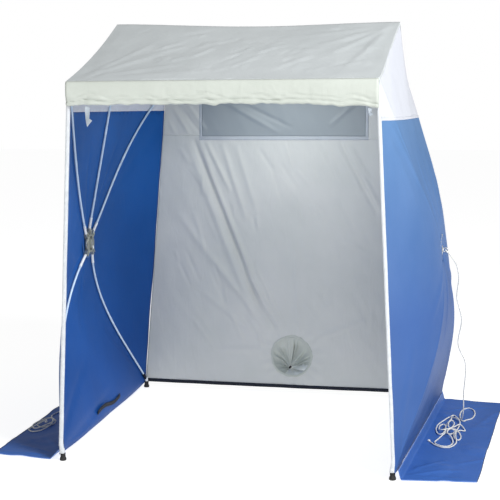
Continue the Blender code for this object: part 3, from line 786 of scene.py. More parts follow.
def roof():
    """One cloth over the ridge, its edges turned down over the poles and verges."""
    us = [-1.028, -1.015, -1.004] + [-1 + k / 70 for k in range(141)] + [1.004, 1.015, 1.028]
    vs = [-1.026, -1.014, -1.004] + [-1 + k / 40 for k in range(81)] + [1.004, 1.014, 1.026]
    points = np.array([[roof_point(u, v) for u in us] for v in vs])
    half_width, slope_length = 0.69, 0.82
    u = np.array([us] * len(vs)) * half_width
    v = np.array([[v] * len(us) for v in vs])
    run = v * slope_length
    relief = waves(u, run, 0.3, 2, 0.006) + waves(u, run, 0.1, 9, 0.0022)
    for start, end, width, height in FRONT_SLOPE_FOLDS:
        for slope in (1, -1):  # the front slope, and the back one turned half round
            start_at = (slope * start[0] * half_width, -slope * start[1] * slope_length)
            end_at = (slope * end[0] * half_width, -slope * end[1] * slope_length)
            relief += crease(u, run, start_at, end_at, width, height)
    for start, end, width, height in SLOPE_WRINKLES:
        relief += crease(u, run, start, end, width, height)
    fine = waves(u * 1.0 + run * 0.8, run * 1.0 - u * 0.5, 0.045, 4, 0.0022)
    relief += fine * np.clip(waves(u, run, 0.22, 6, 1.6) + 0.3, 0, 1)
    fade = box_edge_fade(u, -0.688, 0.688, 0.06) * box_edge_fade(run, -0.815, 0.815, 0.05)
    fade *= np.clip(np.abs(run) / 0.05, 0.15, 1)
    points[:, :, 2] += relief * fade * 0.95
    points[:, :, 1] += relief * fade * 0.33 * np.sign(v)
    bm = grid_mesh(out_of_true(points))
    made = cloth_of("roof_canopy", bm, ROOF_WHITE, angle=60.0)
    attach(made, "root")
    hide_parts("roof_cloth")
    for side_name, side in SIDES.items():
        verge_piping(side_name, side)


def verge_piping(side_name, side):
    """The stitched edge where the roof meets the gable, a thin cord under the cloth."""
    line = []
    for k in range(81):
        v = -1 + k / 40
        x, y, z = roof_point(side * 1.0, v)
        line.append(Vector((x + side * 0.0016, y, z - 0.0125)))
    name = f"{side_name}_verge_piping"
    made = tube(name, leaning(line), 0.0016, TAPE, "white_webbing", sides=8)
    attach(made, "root")


# Rear wall

# Creases of the rear wall: start, end (x, z), width, depth.
REAR_FOLDS = [
    ((-0.544, 1.415), (-0.145, 0.4), 0.01, -0.015), ((-0.515, 1.415), (-0.118, 0.43), 0.015, 0.013),
    ((-0.585, 1.4), (-0.19, 0.4), 0.018, 0.0075), ((-0.47, 1.4), (-0.33, 1.12), 0.011, 0.01),
    ((-0.455, 1.28), (-0.21, 0.7), 0.01, -0.006), ((-0.38, 1.39), (-0.24, 0.96), 0.014, 0.008),
    ((-0.3, 1.39), (-0.18, 1.0), 0.014, 0.0055), ((-0.3, 0.76), (-0.03, 0.33), 0.011, 0.0085),
    ((-0.2, 0.72), (-0.01, 0.33), 0.009, 0.0075), ((-0.25, 0.62), (-0.06, 0.32), 0.008, -0.006),
    ((-0.44, 0.76), (-0.11, 0.32), 0.014, 0.008), ((-0.5, 0.56), (-0.13, 0.27), 0.014, 0.0065),
    ((-0.64, 1.0), (-0.3, 0.56), 0.02, 0.006), ((0.274, 1.4), (0.485, 1.002), 0.01, -0.0085),
    ((0.3, 1.4), (0.52, 1.0), 0.013, 0.007), ((0.33, 1.38), (0.44, 1.2), 0.01, 0.0045),
    ((0.18, 1.39), (0.3, 1.15), 0.012, 0.0045), ((0.03, 0.86), (0.05, 0.33), 0.015, 0.005),
    ((0.13, 0.3), (0.42, 0.42), 0.016, 0.0045), ((-0.12, 0.24), (-0.42, 0.23), 0.018, 0.0045),
    ((-0.69, 1.64), (-0.56, 1.43), 0.01, 0.0075), ((-0.66, 1.64), (-0.5, 1.44), 0.01, -0.007),
    ((-0.6, 1.64), (-0.47, 1.46), 0.009, 0.0065), ((-0.71, 1.56), (-0.64, 1.43), 0.009, 0.006),
    ((-0.4, 1.64), (-0.05, 1.44), 0.012, 0.006), ((-0.34, 1.64), (0.02, 1.47), 0.01, -0.0055),
    ((0.4, 1.64), (0.22, 1.48), 0.012, 0.006), ((0.64, 1.64), (0.56, 1.43), 0.012, 0.006),
]
REAR_FOLDS += scatter(21, 26, (-0.66, 0.3), (-0.05, 1.36), -66, 12, 0.16, 0.0042)
REAR_FOLDS += scatter(22, 26, (-0.1, 0.3), (0.66, 1.36), -72, 20, 0.14, 0.0034)


def rear_half_width(z):
    low, high = CORNERS["rear_foot"], CORNERS["rear_eave"]
    share = (z - low[2]) / (high[2] - low[2])
    return low[0] + (high[0] - low[0]) * share


def rear_relief(x, z):
    """How far the rear wall stands out behind its plane."""
    relief = waves(x, z, 0.34, 11, 0.0075) + waves(x, z, 0.11, 12, 0.002)
    lean = x * 0.9 + z * 0.42
    across = z * 0.9 - x * 0.42
    relief = relief + waves(lean, across * 0.3, 0.045, 13, 0.0016)
    for start, end, width, height in REAR_FOLDS:
        relief = relief - crease(x, z, start, end, width, height)
    half = 0.7 + (EAVE_HEIGHT - z) * 0.086
    fade = box_edge_fade(x, -half, half, 0.08) * np.clip((z - 0.03) / 0.07, 0, 1)
    fade = fade * np.clip((EAVE_HEIGHT - z) / 0.06, 0, 1)
    to_port = np.hypot(x - PORT_CENTRE.x, z - PORT_CENTRE.z)
    fade = fade * np.clip((to_port - 0.1) / 0.08, 0.0, 1)
    spokes = np.cos(np.arctan2(z - PORT_CENTRE.z, x - PORT_CENTRE.x) * 17 + 0.6)
    ring = np.exp(-(((to_port - 0.15) / 0.035) ** 2))
    return relief * fade + 0.0016 * spokes * ring


def between(low, high, step):
    count = max(int(round((high - low) / step)), 1)
    return [low + (high - low) * k / count for k in range(count)]


def rear_grid(step):
    """The rear wall's points, with grid lines along the window's edges."""
    zs = between(0.0385, WINDOW["low_z"], step) + between(WINDOW["low_z"], WINDOW["high_z"], step)
    zs += between(WINDOW["high_z"], EAVE_HEIGHT, step) + [EAVE_HEIGHT]
    shares = between(-1, 1, step / 0.76) + [1.0]
    x = np.array([[rear_half_width(z) * s for s in shares] for z in zs])
    z = np.array([[z] * len(shares) for z in zs])
    return x, z


def rear_wall():
    """The rear cloth, cut out round the port and the window."""
    x, z = rear_grid(0.0085)
    for edge in (WINDOW["low_x"], WINDOW["high_x"]):
        row_at = np.abs(x - edge).argmin(axis=1)
        x[np.arange(len(x)), row_at] = edge
    dx, dz = x - PORT_CENTRE.x, z - PORT_CENTRE.z
    reach = np.hypot(dx, dz)
    near = np.abs(reach - PORT_RADIUS) < 0.0062
    x = np.where(near, PORT_CENTRE.x + dx / reach * PORT_RADIUS, x)
    z = np.where(near, PORT_CENTRE.z + dz / reach * PORT_RADIUS, z)
    y = REAR_Y + rear_relief(x, z)
    points = np.stack([x, y, z], axis=-1)
    cx = (x[:-1, :-1] + x[1:, :-1] + x[:-1, 1:] + x[1:, 1:]) / 4
    cz = (z[:-1, :-1] + z[1:, :-1] + z[:-1, 1:] + z[1:, 1:]) / 4
    in_port = np.hypot(cx - PORT_CENTRE.x, cz - PORT_CENTRE.z) < PORT_RADIUS - 0.0005
    in_window = (cx > WINDOW["low_x"]) & (cx < WINDOW["high_x"])
    in_window &= (cz > WINDOW["low_z"]) & (cz < WINDOW["high_z"])
    bm = grid_mesh(out_of_true(points), keep=~(in_port | in_window))
    # Its darker white is painted shade.
    made = cloth_of("rear_cloth", bm, REAR_WHITE_SHADED)
    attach(made, "root")
    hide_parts("rear_wall")


def rear_patch(name, low, high, lift, finish, step=0.009):
    """A rectangle of cloth that follows the rear wall's relief, lift in front of it."""
    xs = between(low[0], high[0], step) + [high[0]]
    zs = between(low[1], high[1], step) + [high[1]]
    x, z = np.meshgrid(np.array(xs), np.array(zs))
    points = out_of_true(np.stack([x, REAR_Y + rear_relief(x, z) - lift, z], axis=-1))
    made = cloth_of(name, grid_mesh(points), finish, 0.0009)
    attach(made, "root")
    return made


def window():
    """The film with its hem strips, and the cross seam beside it."""
    low = (WINDOW["low_x"], WINDOW["low_z"])
    high = (WINDOW["high_x"], WINDOW["high_z"])
    film = rear_patch("window_film", low, high, 0.0002, FILM, 0.007)
    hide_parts("window_panel")
    hem, under, lap, past = 0.014, 0.02, 0.001, 0.004
    strips = {
        "under": ((low[0] - past, low[1] - under), (high[0] + past, low[1] + lap)),
        "over": ((low[0] - past, high[1] - lap), (high[0] + past, high[1] + hem)),
        "left": ((low[0] - hem, low[1] - under), (low[0] + lap, high[1] + hem)),
        "right": ((high[0] - lap, low[1] - under), (high[0] + hem, high[1] + hem)),
    }
    for where, (a, b) in strips.items():
        piece = rear_patch(f"window_hem_{where}", a, b, 0.0014, HEM_GREY, 0.006)
    seams = {"left": (-0.715, low[0] - hem, 1.43), "right": (high[0] + hem, 0.715, 1.41)}
    for where, (a, b, z) in seams.items():
        name = f"rear_seam_{where}"
        rear_patch(name, (a, z), (b, z + 0.008), 0.0012, REAR_WHITE_SHADED, 0.006)
    for name, z in (("under", low[1] - 0.0185), ("film", low[1] - 0.002)):
        stitch_row(f"window_stitches_{name}", low[0], high[0], z)


def stitch_row(name, low_x, high_x, z):
    """Dashes of thread along a hem of the rear wall."""
    bm = bmesh.new()
    pitch, dash, half = 0.0075, 0.005, 0.00045
    count = int((high_x - low_x) / pitch)
    xs = np.array([[low_x + k * pitch, low_x + k * pitch + dash] for k in range(count)])
    y = REAR_Y + rear_relief(xs, np.full(xs.shape, z)) - 0.0024
    for (xa, xb), (ya, yb) in zip(xs, y):
        tube_bm(bm, [(xa, ya, z), (xb, yb, z)], lambda share: half, 5)
    made = object_of(name, finish_mesh(name, bm), THREAD)
    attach(made, "root")


# Port


def port():
    """The sleeve that is gathered shut behind the wall, its collar and its draw cord."""
    sides, rings = 168, 34
    points = np.zeros((rings + 1, sides, 3))
    for r in range(rings + 1):
        share = r / rings
        back = 1 - (1 - share) ** 2.6
        radius = PORT_RADIUS + (0.0075 - PORT_RADIUS) * share**0.9
        swell = math.sin(math.pi * min(share * 1.08, 1)) ** 0.8
        for s in range(sides):
            a = math.tau * s / sides
            around = Vector((math.cos(a) * 1.6, math.sin(a) * 1.6, 2.0))
            drift = 2.4 * noise.noise(around) + 0.9 * noise.noise(around * 2.3)
            bold = 0.55 + 0.9 * abs(noise.noise(around * 1.4 + Vector((0, 0, 5))))
            wave = math.cos(a * 13 + drift * 1.7 + share * 0.8) * bold
            rib = math.exp(-(((a - 1.74) / 0.11) ** 2)) * (1 - 0.3 * share)
            lap = math.exp(-(((a - 5.6) / 0.13) ** 2)) * math.sin(math.pi * share)
            soft = 0.5 * noise.noise(Vector((radius * math.cos(a) / 0.03, radius * math.sin(a) / 0.03, 7)))
            depth = 0.0085 * wave + 0.004 * soft
            middle = PORT_CENTRE.lerp(PORT_THROAT, share**0.85)
            y = REAR_Y - 0.0005 + (PORT_THROAT.y - REAR_Y + 0.006 * math.sin(math.pi * share)) * back
            y += depth * swell - 0.02 * rib * swell - 0.02 * lap
            points[r, s] = (
                middle.x + radius * math.cos(a + 0.1 * wave * swell),
                min(y, 0.826),
                middle.z + radius * math.sin(a + 0.1 * wave * swell),
            )
    bm = grid_mesh(points, closed=True)
    sleeve = cloth_of("port_gather", bm, SLEEVE, 0.0009)
    # The lower sector, facing up in the recess, takes the lighter copy: painted light.
    sleeve.data.materials.append(SLEEVE_PAINTED_LIGHT)
    for polygon in sleeve.data.polygons:
        way = polygon.center - PORT_THROAT
        turn = math.degrees(math.atan2(way.z, way.x))
        if -128 < turn < 12 + 10 * noise.noise(polygon.center * 60):
            polygon.material_index = 1
    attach(sleeve, "root")
    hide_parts("port_sleeve")
    ring = port_ring()
    drawn = circle(PORT_THROAT - Vector((0, 0.005, 0)), 0.009, 60, (1, 0, 0))
    for k, point in enumerate(drawn):
        point.y += 0.0006 * math.sin(5 * math.tau * k / 60)
    draw_cord = tube("port_draw_cord", drawn, 0.0015, ROPE, "guy_rope", sides=10, closed=True)
    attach(draw_cord, "root")


def port_ring():
    """The flat collar round the port, a little uneven where it is sewn."""
    rings = []
    for radius, lift in ((0.1065, 0.0008), (0.1085, 0.002), (0.116, 0.002), (0.118, 0.0006)):
        ring = []
        for k in range(96):
            a = math.tau * k / 96
            wobble = 0.0014 * math.sin(a * 5 + 1) + 0.0009 * math.sin(a * 13)
            r = radius + wobble + 0.0005 * math.sin(a * 29)
            way = Vector((math.cos(a), 0, math.sin(a)))
            ring.append(PORT_CENTRE + way * r - Vector((0, lift, 0)))
        rings.append(ring)
    bm = grid_mesh(np.array(rings), closed=True)
    made = cloth_of("port_ring", bm, SLEEVE, 0.0012)
    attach(made, "root")
    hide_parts("port_collar")
    return made


# Rolled door


def rolled_door():
    """The door cloth wound into a flattened roll that hangs as a band under the eave."""
    turns, per_turn, columns = 8.8, 48, 150
    count = int(turns * per_turn)
    points = np.zeros((count + 1, columns + 1, 3))
    middle_y = -0.7905
    for c in range(columns + 1):
        u = -1 + 2 * c / columns
        x = u * 0.682
        lower = 1.598 - 0.02 * max(u, 0) ** 3 - 0.004 * max(-u, 0) ** 3
        lower += 0.006 * noise.noise(Vector((x / 0.11, 0, 3)))
        lower += 0.0045 * noise.noise(Vector((x / 0.042, 1, 3)))
        upper = 1.702
        band = 0.02 + 0.008 * noise.noise(Vector((x / 0.09, 4.0, 1.0)))
        bold = 0.55 + 0.9 * abs(noise.noise(Vector((x / 0.07, 2.0, 6.0))))
        slant = 0.02 * noise.noise(Vector((x / 0.16, 9.0, 1.0)))
        for k in range(count + 1):
            share = k / count
            phase = (k / per_turn) % 1.0
            rise = 1 - 4 * phase if phase < 0.5 else 4 * phase - 3
            rise = 0.75 * rise + 0.25 * math.sin(math.pi * rise / 2)
            facing = -1 if phase < 0.5 else 1
            bulge = facing * math.sqrt(max(1 - abs(rise) ** 5, 0.0))
            inward = share * 0.0095
            z = (upper + lower) / 2 + ((upper - lower) / 2 - inward * 2.2) * rise
            y = middle_y + (0.0115 - inward) * bulge
            down = (z - lower) / (upper - lower)
            low_part = min(max(1 - down, 0), 1) ** 2.5
            groove = math.exp(-(((z - lower - band) / 0.005) ** 2)) * bold
            second = math.exp(-(((z - lower - band * 1.9 - slant) / 0.0045) ** 2)) * (1.3 - bold)
            ruck = noise.noise(Vector(((x + 0.4 * z) / 0.06, z / 0.035, 8.0)))
            ruck += 0.6 * noise.noise(Vector(((x + 0.7 * z) / 0.022, z / 0.02, 5.0)))
            left_end = math.exp(-(((x + 0.61) / 0.06) ** 2)) * math.exp(-((down / 0.3) ** 2))
            twist = math.sin((x * 0.7 + z * 1.7) / 0.0042) * left_end
            ease = 1 - share
            y -= bulge * (0.0105 * groove + 0.0065 * second) * ease
            y += bulge * (0.005 * ruck * (0.12 + low_part) + 0.0035 * twist) * ease
            z += 0.0042 * ruck * low_part * ease
            points[k, c] = (x + 0.0015 * math.copysign(share, u), y, z)
    made = cloth_of("door_roll", grid_mesh(points), CREAM, 0.0005)
    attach(made, "root")
    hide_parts("rolled_door")


# Front edges, flaps and webbing


def front_edge_x(z):
    """The front edge of the right side wall."""
    high, low = CORNERS["front_eave"], CORNERS["front_foot"]
    return low[0] + (high[0] - low[0]) * (z - low[2]) / (high[2] - low[2])


def front_binding(side_name, side):
    """The white tape folded over the side wall's front edge, flared over the foot tip."""
    name = f"{side_name}_edge_tape"
    rows = []
    top, bottom = 1.602, 0.036
    # The fold's cross-section: across in half widths, and how far back.
    fold = [(-0.95, 0.016), (-1.0, 0.007), (-0.96, 0.001), (-0.55, -0.0008), (0.0, -0.0012)]
    fold += [(0.55, -0.0008), (0.96, 0.001), (1.0, 0.007), (0.98, 0.018)]
    for k in range(121):
        z = bottom + (top - bottom) * k / 120
        flare = math.exp(-(((z - bottom) / 0.03) ** 2))
        half = 0.007 + 0.003 * flare
        half += 0.0008 * noise.noise(Vector((side, z / 0.12, 2.0)))
        x = front_edge_x(z) - 0.004 + 0.0015 * noise.noise(Vector((side * 4, z / 0.25, 6.0)))
        x -= 0.007 * flare
        front = -HALF_DEPTH - 0.0035 - 0.001 * flare
        row = []
        for step, (across, back) in enumerate(fold):
            ripple = 0.0006 * noise.noise(Vector((step, z / 0.03, 9.0)))
            row.append((side * (x + across * half), front + back + ripple, z))
        rows.append(row)
    bm = grid_mesh(np.array(rows))
    made = cloth_of(name, bm, TAPE, angle=60.0)
    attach(made, "root")
    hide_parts(f"{side_name}_front_binding")
    bm = bmesh.new()
    for off in (-0.0062, 0.0062):
        for k in range(200):
            z = 0.07 + k * 0.0075
            x = side * (front_edge_x(z) - 0.004 + off)
            tube_bm(bm, [(x, -0.78, z), (x, -0.78, z + 0.0048)], lambda share: 0.00045, 5)
    stitches = object_of(name + "_stitches", finish_mesh(name + "s", bm), THREAD)
    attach(stitches, "root")


def ground_flap(side_name, side):
    """The skirt on the ground outside a side wall: slack cloth with a turned hem."""
    name = f"{side_name}_ground_skirt"
    inner_front, inner_rear = Vector((0.772, -0.764, 0)), Vector((0.846, 0.775, 0))
    outer_front, outer_rear = Vector((1.102, -0.728, 0)), Vector((1.166, 0.742, 0))
    rows, columns = 130, 44
    points = np.zeros((rows + 1, columns + 1, 3))
    for r in range(rows + 1):
        t = r / rows
        a = inner_front.lerp(inner_rear, t)
        foot = wall_point("front_foot", "rear_foot", 1.0, t).x
        a.x = max(a.x, foot + 0.001)
        b = outer_front.lerp(outer_rear, t)
        b.x += 0.003 * noise.noise(Vector((t * 5.0, side, 4.0)))
        for c in range(columns + 1):
            p = a.lerp(b, (c / columns) ** 1.35)
            points[r, c] = (p.x, p.y, 0)
    x, y = points[:, :, 0], points[:, :, 1]
    share = np.array([[(c / columns) ** 1.35 for c in range(columns + 1)]] * (rows + 1))
    lift = np.clip(waves(x, y, 0.16, 21 + side, 0.012) + waves(x, y, 0.06, 23, 0.003), 0, 0.01)
    for start, end, width, height in FLAP_FOLDS:
        lift = lift + np.clip(crease(x, y, start, end, width, height), 0, 1)
    lift = lift * (0.35 + 0.65 * np.clip(share / 0.15, 0, 1))
    pile = np.hypot((x - 0.925) / 0.1, (y - 0.045) / 0.32)
    if side < 0:
        pile = np.hypot((x - 1.062) / 0.11, (y + 0.17) / 0.28)
    lift = lift * np.clip((pile - 0.85) / 0.35, 0.0, 1)
    bead = 0.0035 * np.exp(-(((share - 0.99) / 0.012) ** 2))
    rim = np.array([[r / rows] * (columns + 1) for r in range(rows + 1)])
    bead = np.maximum(bead, 0.0035 * np.exp(-(((rim - 0.006) / 0.004) ** 2)))
    bead = np.maximum(bead, 0.0035 * np.exp(-(((rim - 0.994) / 0.004) ** 2)))
    points[:, :, 2] = 0.0012 + lift + bead * np.clip((pile - 0.85) / 0.35, 0.0, 1)
    climb = np.clip(1 - share / (0.032 if side > 0 else 0.11), 0, 1)
    points[:, :, 2] += 0.0405 * climb
    points[:, :, 0] *= side
    made = cloth_of(name, grid_mesh(points), FLAP_BLUE, 0.001)
    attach(made, "root")
    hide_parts(f"{side_name}_ground_flap")
    lines = {
        "seam": ([tuple(p) for p in points[:, 0]], 0.0018, PIPING_BLUE),
        "front_hem": ([tuple(p) for p in points[0, 4:]], 0.0016, PIPING_BLUE),
        "outer_hem": ([tuple(p) for p in points[:, -1]], 0.0018, HEM_NAVY),
        "rear_hem": ([tuple(p) for p in points[-1, 4:]], 0.0016, HEM_NAVY),
    }
    for where, (line, radius, finish) in lines.items():
        raised = [Vector((p[0], p[1], max(p[2], 0.002))) for p in line]
        hem = tube(f"{side_name}_flap_{where}", raised, radius, finish, "blue_cloth", sides=8)
        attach(hem, "root")


# Folds of the right flap on the ground: start, end (x, y), width, height.
FLAP_FOLDS = [
    ((0.8, -0.69), (1.04, -0.56), 0.014, 0.006), ((0.82, -0.7), (1.08, -0.7), 0.01, 0.005),
    ((0.8, -0.64), (0.96, -0.42), 0.013, 0.005), ((1.0, -0.48), (1.14, -0.36), 0.014, 0.0045),
    ((1.06, 0.24), (1.15, 0.56), 0.016, 0.005), ((0.87, 0.52), (1.1, 0.64), 0.014, 0.0045),
]


def base_webbing():
    """The dark webbing along the rear wall's foot, slack between its ends."""
    columns = 120
    points = np.zeros((5, columns + 1, 3))
    for r in range(5):
        for c in range(columns + 1):
            u = -1 + 2 * c / columns
            x = u * 0.826
            z = 0.03 + 0.019 * r / 4 - 0.003 * (1 - u * u) + 0.0015 * noise.noise(Vector((x / 0.2, 0, 1)))
            y = REAR_Y - 0.0022 + 0.0025 * noise.noise(Vector((x / 0.12, r * 0.1, 2)))
            points[r, c] = (x, y, z)
    bm = grid_mesh(points)
    made = cloth_of("rear_hem_webbing", bm, DARK_TAPE, 0.002, 60.0)
    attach(made, "root")
    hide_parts("rear_base_webbing")
    points = np.zeros((4, 61, 3))
    for c in range(61):
        y = -0.16 + 0.4 * c / 60
        x = wall_point("front_foot", "rear_foot", 0.93, (y + HALF_DEPTH) / (2 * HALF_DEPTH)).x
        lift = 0.01 * math.sin(math.tau * c / 60)
        for r in range(4):
            slack = 0.003 * noise.noise(Vector((y / 0.07, r * 0.2, 3.0)))
            points[r, c] = (-(x - 0.0095 - abs(slack)), y, 0.062 + lift + 0.02 * r / 3)
    bm = grid_mesh(points)
    made = cloth_of("left_inner_strap", bm, DARK_TAPE, 0.0022, 60.0)
    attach(made, "root")
    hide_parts("left_base_strap")


def tie_strap(side_name, at, width, length):
    """A strap that hangs from under the rolled door, with a pointed, barbed tip."""
    name = f"{side_name}_door_tie"
    half = width / 2
    outline = [
        (-0.9, 0.0, 0.9),
        (-0.92, 0.2, 0.92),
        (-0.88, 0.4, 0.86),
        (-0.8, 0.6, 0.8),
        (-0.72, 0.64, 1.3),
        (-0.62, 0.7, 1.95),
        (-0.42, 0.82, 1.15),
        (-0.16, 0.93, 0.45),
        (-0.02, 1.0, 0.1),
    ]
    rows = []
    for left, down, right in outline:
        row = []
        for k in range(9):
            across = left + (right - left) * k / 8
            curl = 0.003 * math.sin(down * 5 + across)
            row.append((across * half, curl, -0.001 - down * length))
        rows.append(row)
    bm = grid_mesh(np.array(rows))
    bmesh.ops.subdivide_edges(bm, edges=bm.edges[:], cuts=1, use_grid_fill=True, smooth=0.3)
    # The tie's grey is painted shade.
    made = cloth_of(name, bm, TIE_TAPE_SHADED, 0.0014, 60.0)
    made.location = at
    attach(made, f"{side_name}_tie")
    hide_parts(f"{side_name}_tie_strap")


# Poles, rods, hubs and feet


def poles():
    """The three poles across the tent with their end caps, and the cord lock's finish."""
    for node in ("cord_lock_body", "cord_lock_button"):
        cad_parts[node].data.materials.clear()
        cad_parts[node].data.materials.append(PLASTIC)
    inset = 0.013
    layout = {
        "ridge": (0.0, APEX_HEIGHT - 0.011, RIDGE_SAG),
        "front_eave": (-HALF_DEPTH + inset, EAVE_HEIGHT - inset, 0.0),
        "rear_eave": (HALF_DEPTH - inset, EAVE_HEIGHT - inset, 0.0),
    }
    profile = [(0, 0), (0.007, -0.0002), (0.009, -0.0012), (0.0096, -0.003), (0.0093, -0.0215)]
    profile += [(0.0098, -0.0225), (0.0098, -0.024), (0.0075, -0.0242), (0.0074, -0.0025)]
    profile.append((0, -0.0025))
    for corner, (y, z, sag) in layout.items():
        end = CORNERS[corner][0] - 0.012
        ends = {}
        for side_name, side in SIDES.items():
            ends[side] = leaning([(side * end, y, z)])[0]
            cap_name = f"{side_name}_{corner}_end_cap"
            cap = revolve(cap_name, profile, (side, 0, 0), ends[side], 32, PLASTIC)
            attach(cap, "root")
            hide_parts(f"{side_name}_{corner}_cap")
        line = []
        for k in range(41):
            point = ends[-1].lerp(ends[1], 0.003 + 0.994 * k / 40)
            reach = k / 20 - 1
            line.append(point - Vector((0, 0, sag * (1 - reach * reach) ** 2)))
        made = tube(f"{corner}_cross_pole", line, 0.007, GLASS_FIBRE, "glass_fibre", sides=24)
        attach(made, "root")
        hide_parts(f"{corner}_pole")


def rod_stretch(side, rod, start, end, steps):
    """Points along a stretch of a rod's centre line."""
    shares = [start + (end - start) * k / steps for k in range(steps + 1)]
    return leaning(mirrored(side, rod_point(rod, share)) for share in shares)


def side_rod(side_name, side, rod):
    """A bowed glass-fibre rod with a ferrule at the hub and a tip in its corner pocket."""
    length = (rod_point(rod, 1.0) - rod_point(rod, 0.0)).length
    last = 1.0 - ROD_STOPS_SHORT[rod] / length
    line = [mirrored(side, rod_point(rod, last * k / 90)) for k in range(91)]
    first = line[0] - (line[1] - line[0]).normalized() * 0.006
    line = leaning([first] + line)
    slot = "glass_fibre"
    made = tube(f"{side_name}_{rod}_rod", line, 0.0052, GLASS_FIBRE, slot, sides=20)
    follow_hub(made)
    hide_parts(f"{side_name}_rod_{rod}")
    sleeve_length = 0.085 if rod in FEET else 0.07
    sleeve = rod_stretch(side, rod, 0.01, sleeve_length / length, 16)

    def flared(share):
        return 0.0068 + 0.001 * math.exp(-(((share - 1) / 0.08) ** 2))

    ferrule = tube(f"{side_name}_{rod}_ferrule", sleeve, flared, FERRULE, slot, sides=24)
    follow_hub(ferrule)
    half_band = 0.0175 / length
    splice = rod_stretch(side, rod, 0.5 - half_band, 0.5 + half_band, 10)
    band = tube(f"{side_name}_{rod}_splice_0", splice, 0.006, GLASS_FIBRE, slot, sides=20)
    follow_hub(band)
    corner_pocket(side_name, side, rod)


def corner_pocket(side_name, side, rod):
    """The stitched sleeve that holds a rod's outer end in the wall's corner."""
    length = (rod_point(rod, 1.0) - rod_point(rod, 0.0)).length
    start = 1.0 - (ROD_STOPS_SHORT[rod] + 0.045) / length
    end = 1.0 - (ROD_STOPS_SHORT[rod] - 0.008) / length
    line = rod_stretch(side, rod, start, end, 14)

    def pocket(share):
        return 0.0072 + 0.0006 * math.cos(share * 26)

    finish, slot = (TAPE, "white_webbing")
    if rod in FEET:
        finish, slot = (DARK_TAPE, "dark_webbing")
    made = tube(f"{side_name}_{rod}_pocket", line, pocket, finish, slot, sides=20)
    follow_hub(made)


def add_block(bm, size, bevel, place=None):
    """Adds a bevelled block."""
    place = Matrix.Diagonal((*size, 1.0)) if place is None else place @ Matrix.Diagonal((*size, 1.0))
    corners = bmesh.ops.create_cube(bm, size=1.0, matrix=place)["verts"]
    edges = list(dict.fromkeys(e for v in corners for e in v.link_edges))
    bmesh.ops.bevel(bm, geom=edges, offset=bevel, segments=3, affect="EDGES", profile=0.5)


def fork_blocks():
    """Two bevelled lugs for each rod, and the ribs that run in to the centre."""
    bm = bmesh.new()
    slot_width, lug, thick = 0.0112, 0.0058, 0.0215
    for rod in RODS:
        along = radial(rod)
        across = along.cross(Vector((1, 0, 0)))
        turn = Matrix((along, across, along.cross(across))).transposed().to_4x4()
        off = across * (slot_width + lug) / 2
        parts = [(along * 0.057 + off * sign, (0.036, lug, thick)) for sign in (-1, 1)]
        parts.append((along * 0.034, (0.02, 0.019, thick * 0.92)))
        for middle, size in parts:
            add_block(bm, size, 0.0014, Matrix.Translation(middle) @ turn)
    return bm


def hub(side_name, side):
    """The cast hub with its forks and pins, the dished cover, the washer and the eye bolt."""
    body = f"{side_name}_hub_set"
    at = Vector((side * HINGE_X, 0, HUB_HEIGHT))
    out = (side, 0, 0)
    disc = [(0, -0.0072), (0.02, -0.0074), (0.043, -0.0074), (0.0462, -0.0062), (0.0474, -0.004)]
    disc += [(0.0474, 0.004), (0.0462, 0.0062), (0.043, 0.0072), (0, 0.0072)]
    core = revolve(f"{side_name}_hub_casting", disc, out, at, 64, ALLOY, 35.0)
    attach(core, body)
    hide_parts(f"{side_name}_hub")
    data = finish_mesh("forks", fork_blocks(), 35.0)
    forks = object_of(f"{side_name}_hub_forks", data, ALLOY)
    forks.location = at
    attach(forks, body)
    bm = bmesh.new()
    for rod in RODS:
        along = radial(rod)
        across = along.cross(Vector((1, 0, 0)))
        middle = at + along * HINGE_RADIUS
        line = [middle + across * (-0.0118 + 0.0236 * k / 6) for k in range(7)]
        tube_bm(bm, line, lambda share: 0.003 if 0.1 < share < 0.9 else 0.0042, 16)
    pins = object_of(f"{side_name}_hub_pins", finish_mesh("pins", bm, 35.0), STEEL)
    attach(pins, body)
    cover = [(0.006, -0.0077), (0.044, -0.0078), (0.0458, -0.0086), (0.0462, -0.0098)]
    cover += [(0.0452, -0.0112), (0.043, -0.0116), (0.0405, -0.0104), (0.033, -0.0098)]
    cover += [(0.025, -0.0104), (0.019, -0.012), (0.013, -0.0124), (0.006, -0.0124)]
    plate = revolve(f"{side_name}_hub_lid", cover, out, at, 64, ALLOY, 30.0)
    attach(plate, body)
    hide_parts(f"{side_name}_hub_cover")
    hub_details(side_name, side, at, body)
    hub_patch(side_name, side, body)


def hub_patch(side_name, side, body):
    """The round reinforcement outside the wall, with the stitches near its edge."""
    rows = []
    profile = [(0.0062, 0.001), (0.03, 0.0012), (0.06, 0.0016), (0.074, 0.0018), (0.0765, 0.001)]
    for radius, lift in profile:
        x = HINGE_X + CLOTH_OFF_ROD - max(radius - HINGE_RADIUS, 0) * PATCH_SLOPE + lift
        row = circle(Vector((side * x, 0, HUB_HEIGHT)), radius, 80, (0, 1, 0))
        for k, point in enumerate(row):
            point.x += side * 0.0004 * math.sin(9 * math.tau * k / 80)
        rows.append(row)
    bm = grid_mesh(np.array(rows), closed=True)
    patch = cloth_of(f"{side_name}_hub_reinforcement", bm, BLUE, 0.0012)
    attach(patch, body)
    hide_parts(f"{side_name}_hub_patch")
    bm = bmesh.new()
    x = HINGE_X + CLOTH_OFF_ROD + 0.0026 - 0.01 * PATCH_SLOPE
    for k in range(56):
        ends = []
        for turn in (k / 56, (k + 0.62) / 56):
            a = math.tau * turn
            ends.append((side * x, 0.07 * math.cos(a), HUB_HEIGHT + 0.07 * math.sin(a)))
        tube_bm(bm, ends, lambda share: 0.0005, 5)
    ring = object_of(f"{side_name}_patch_stitches", finish_mesh("ps", bm), THREAD)
    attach(ring, body)


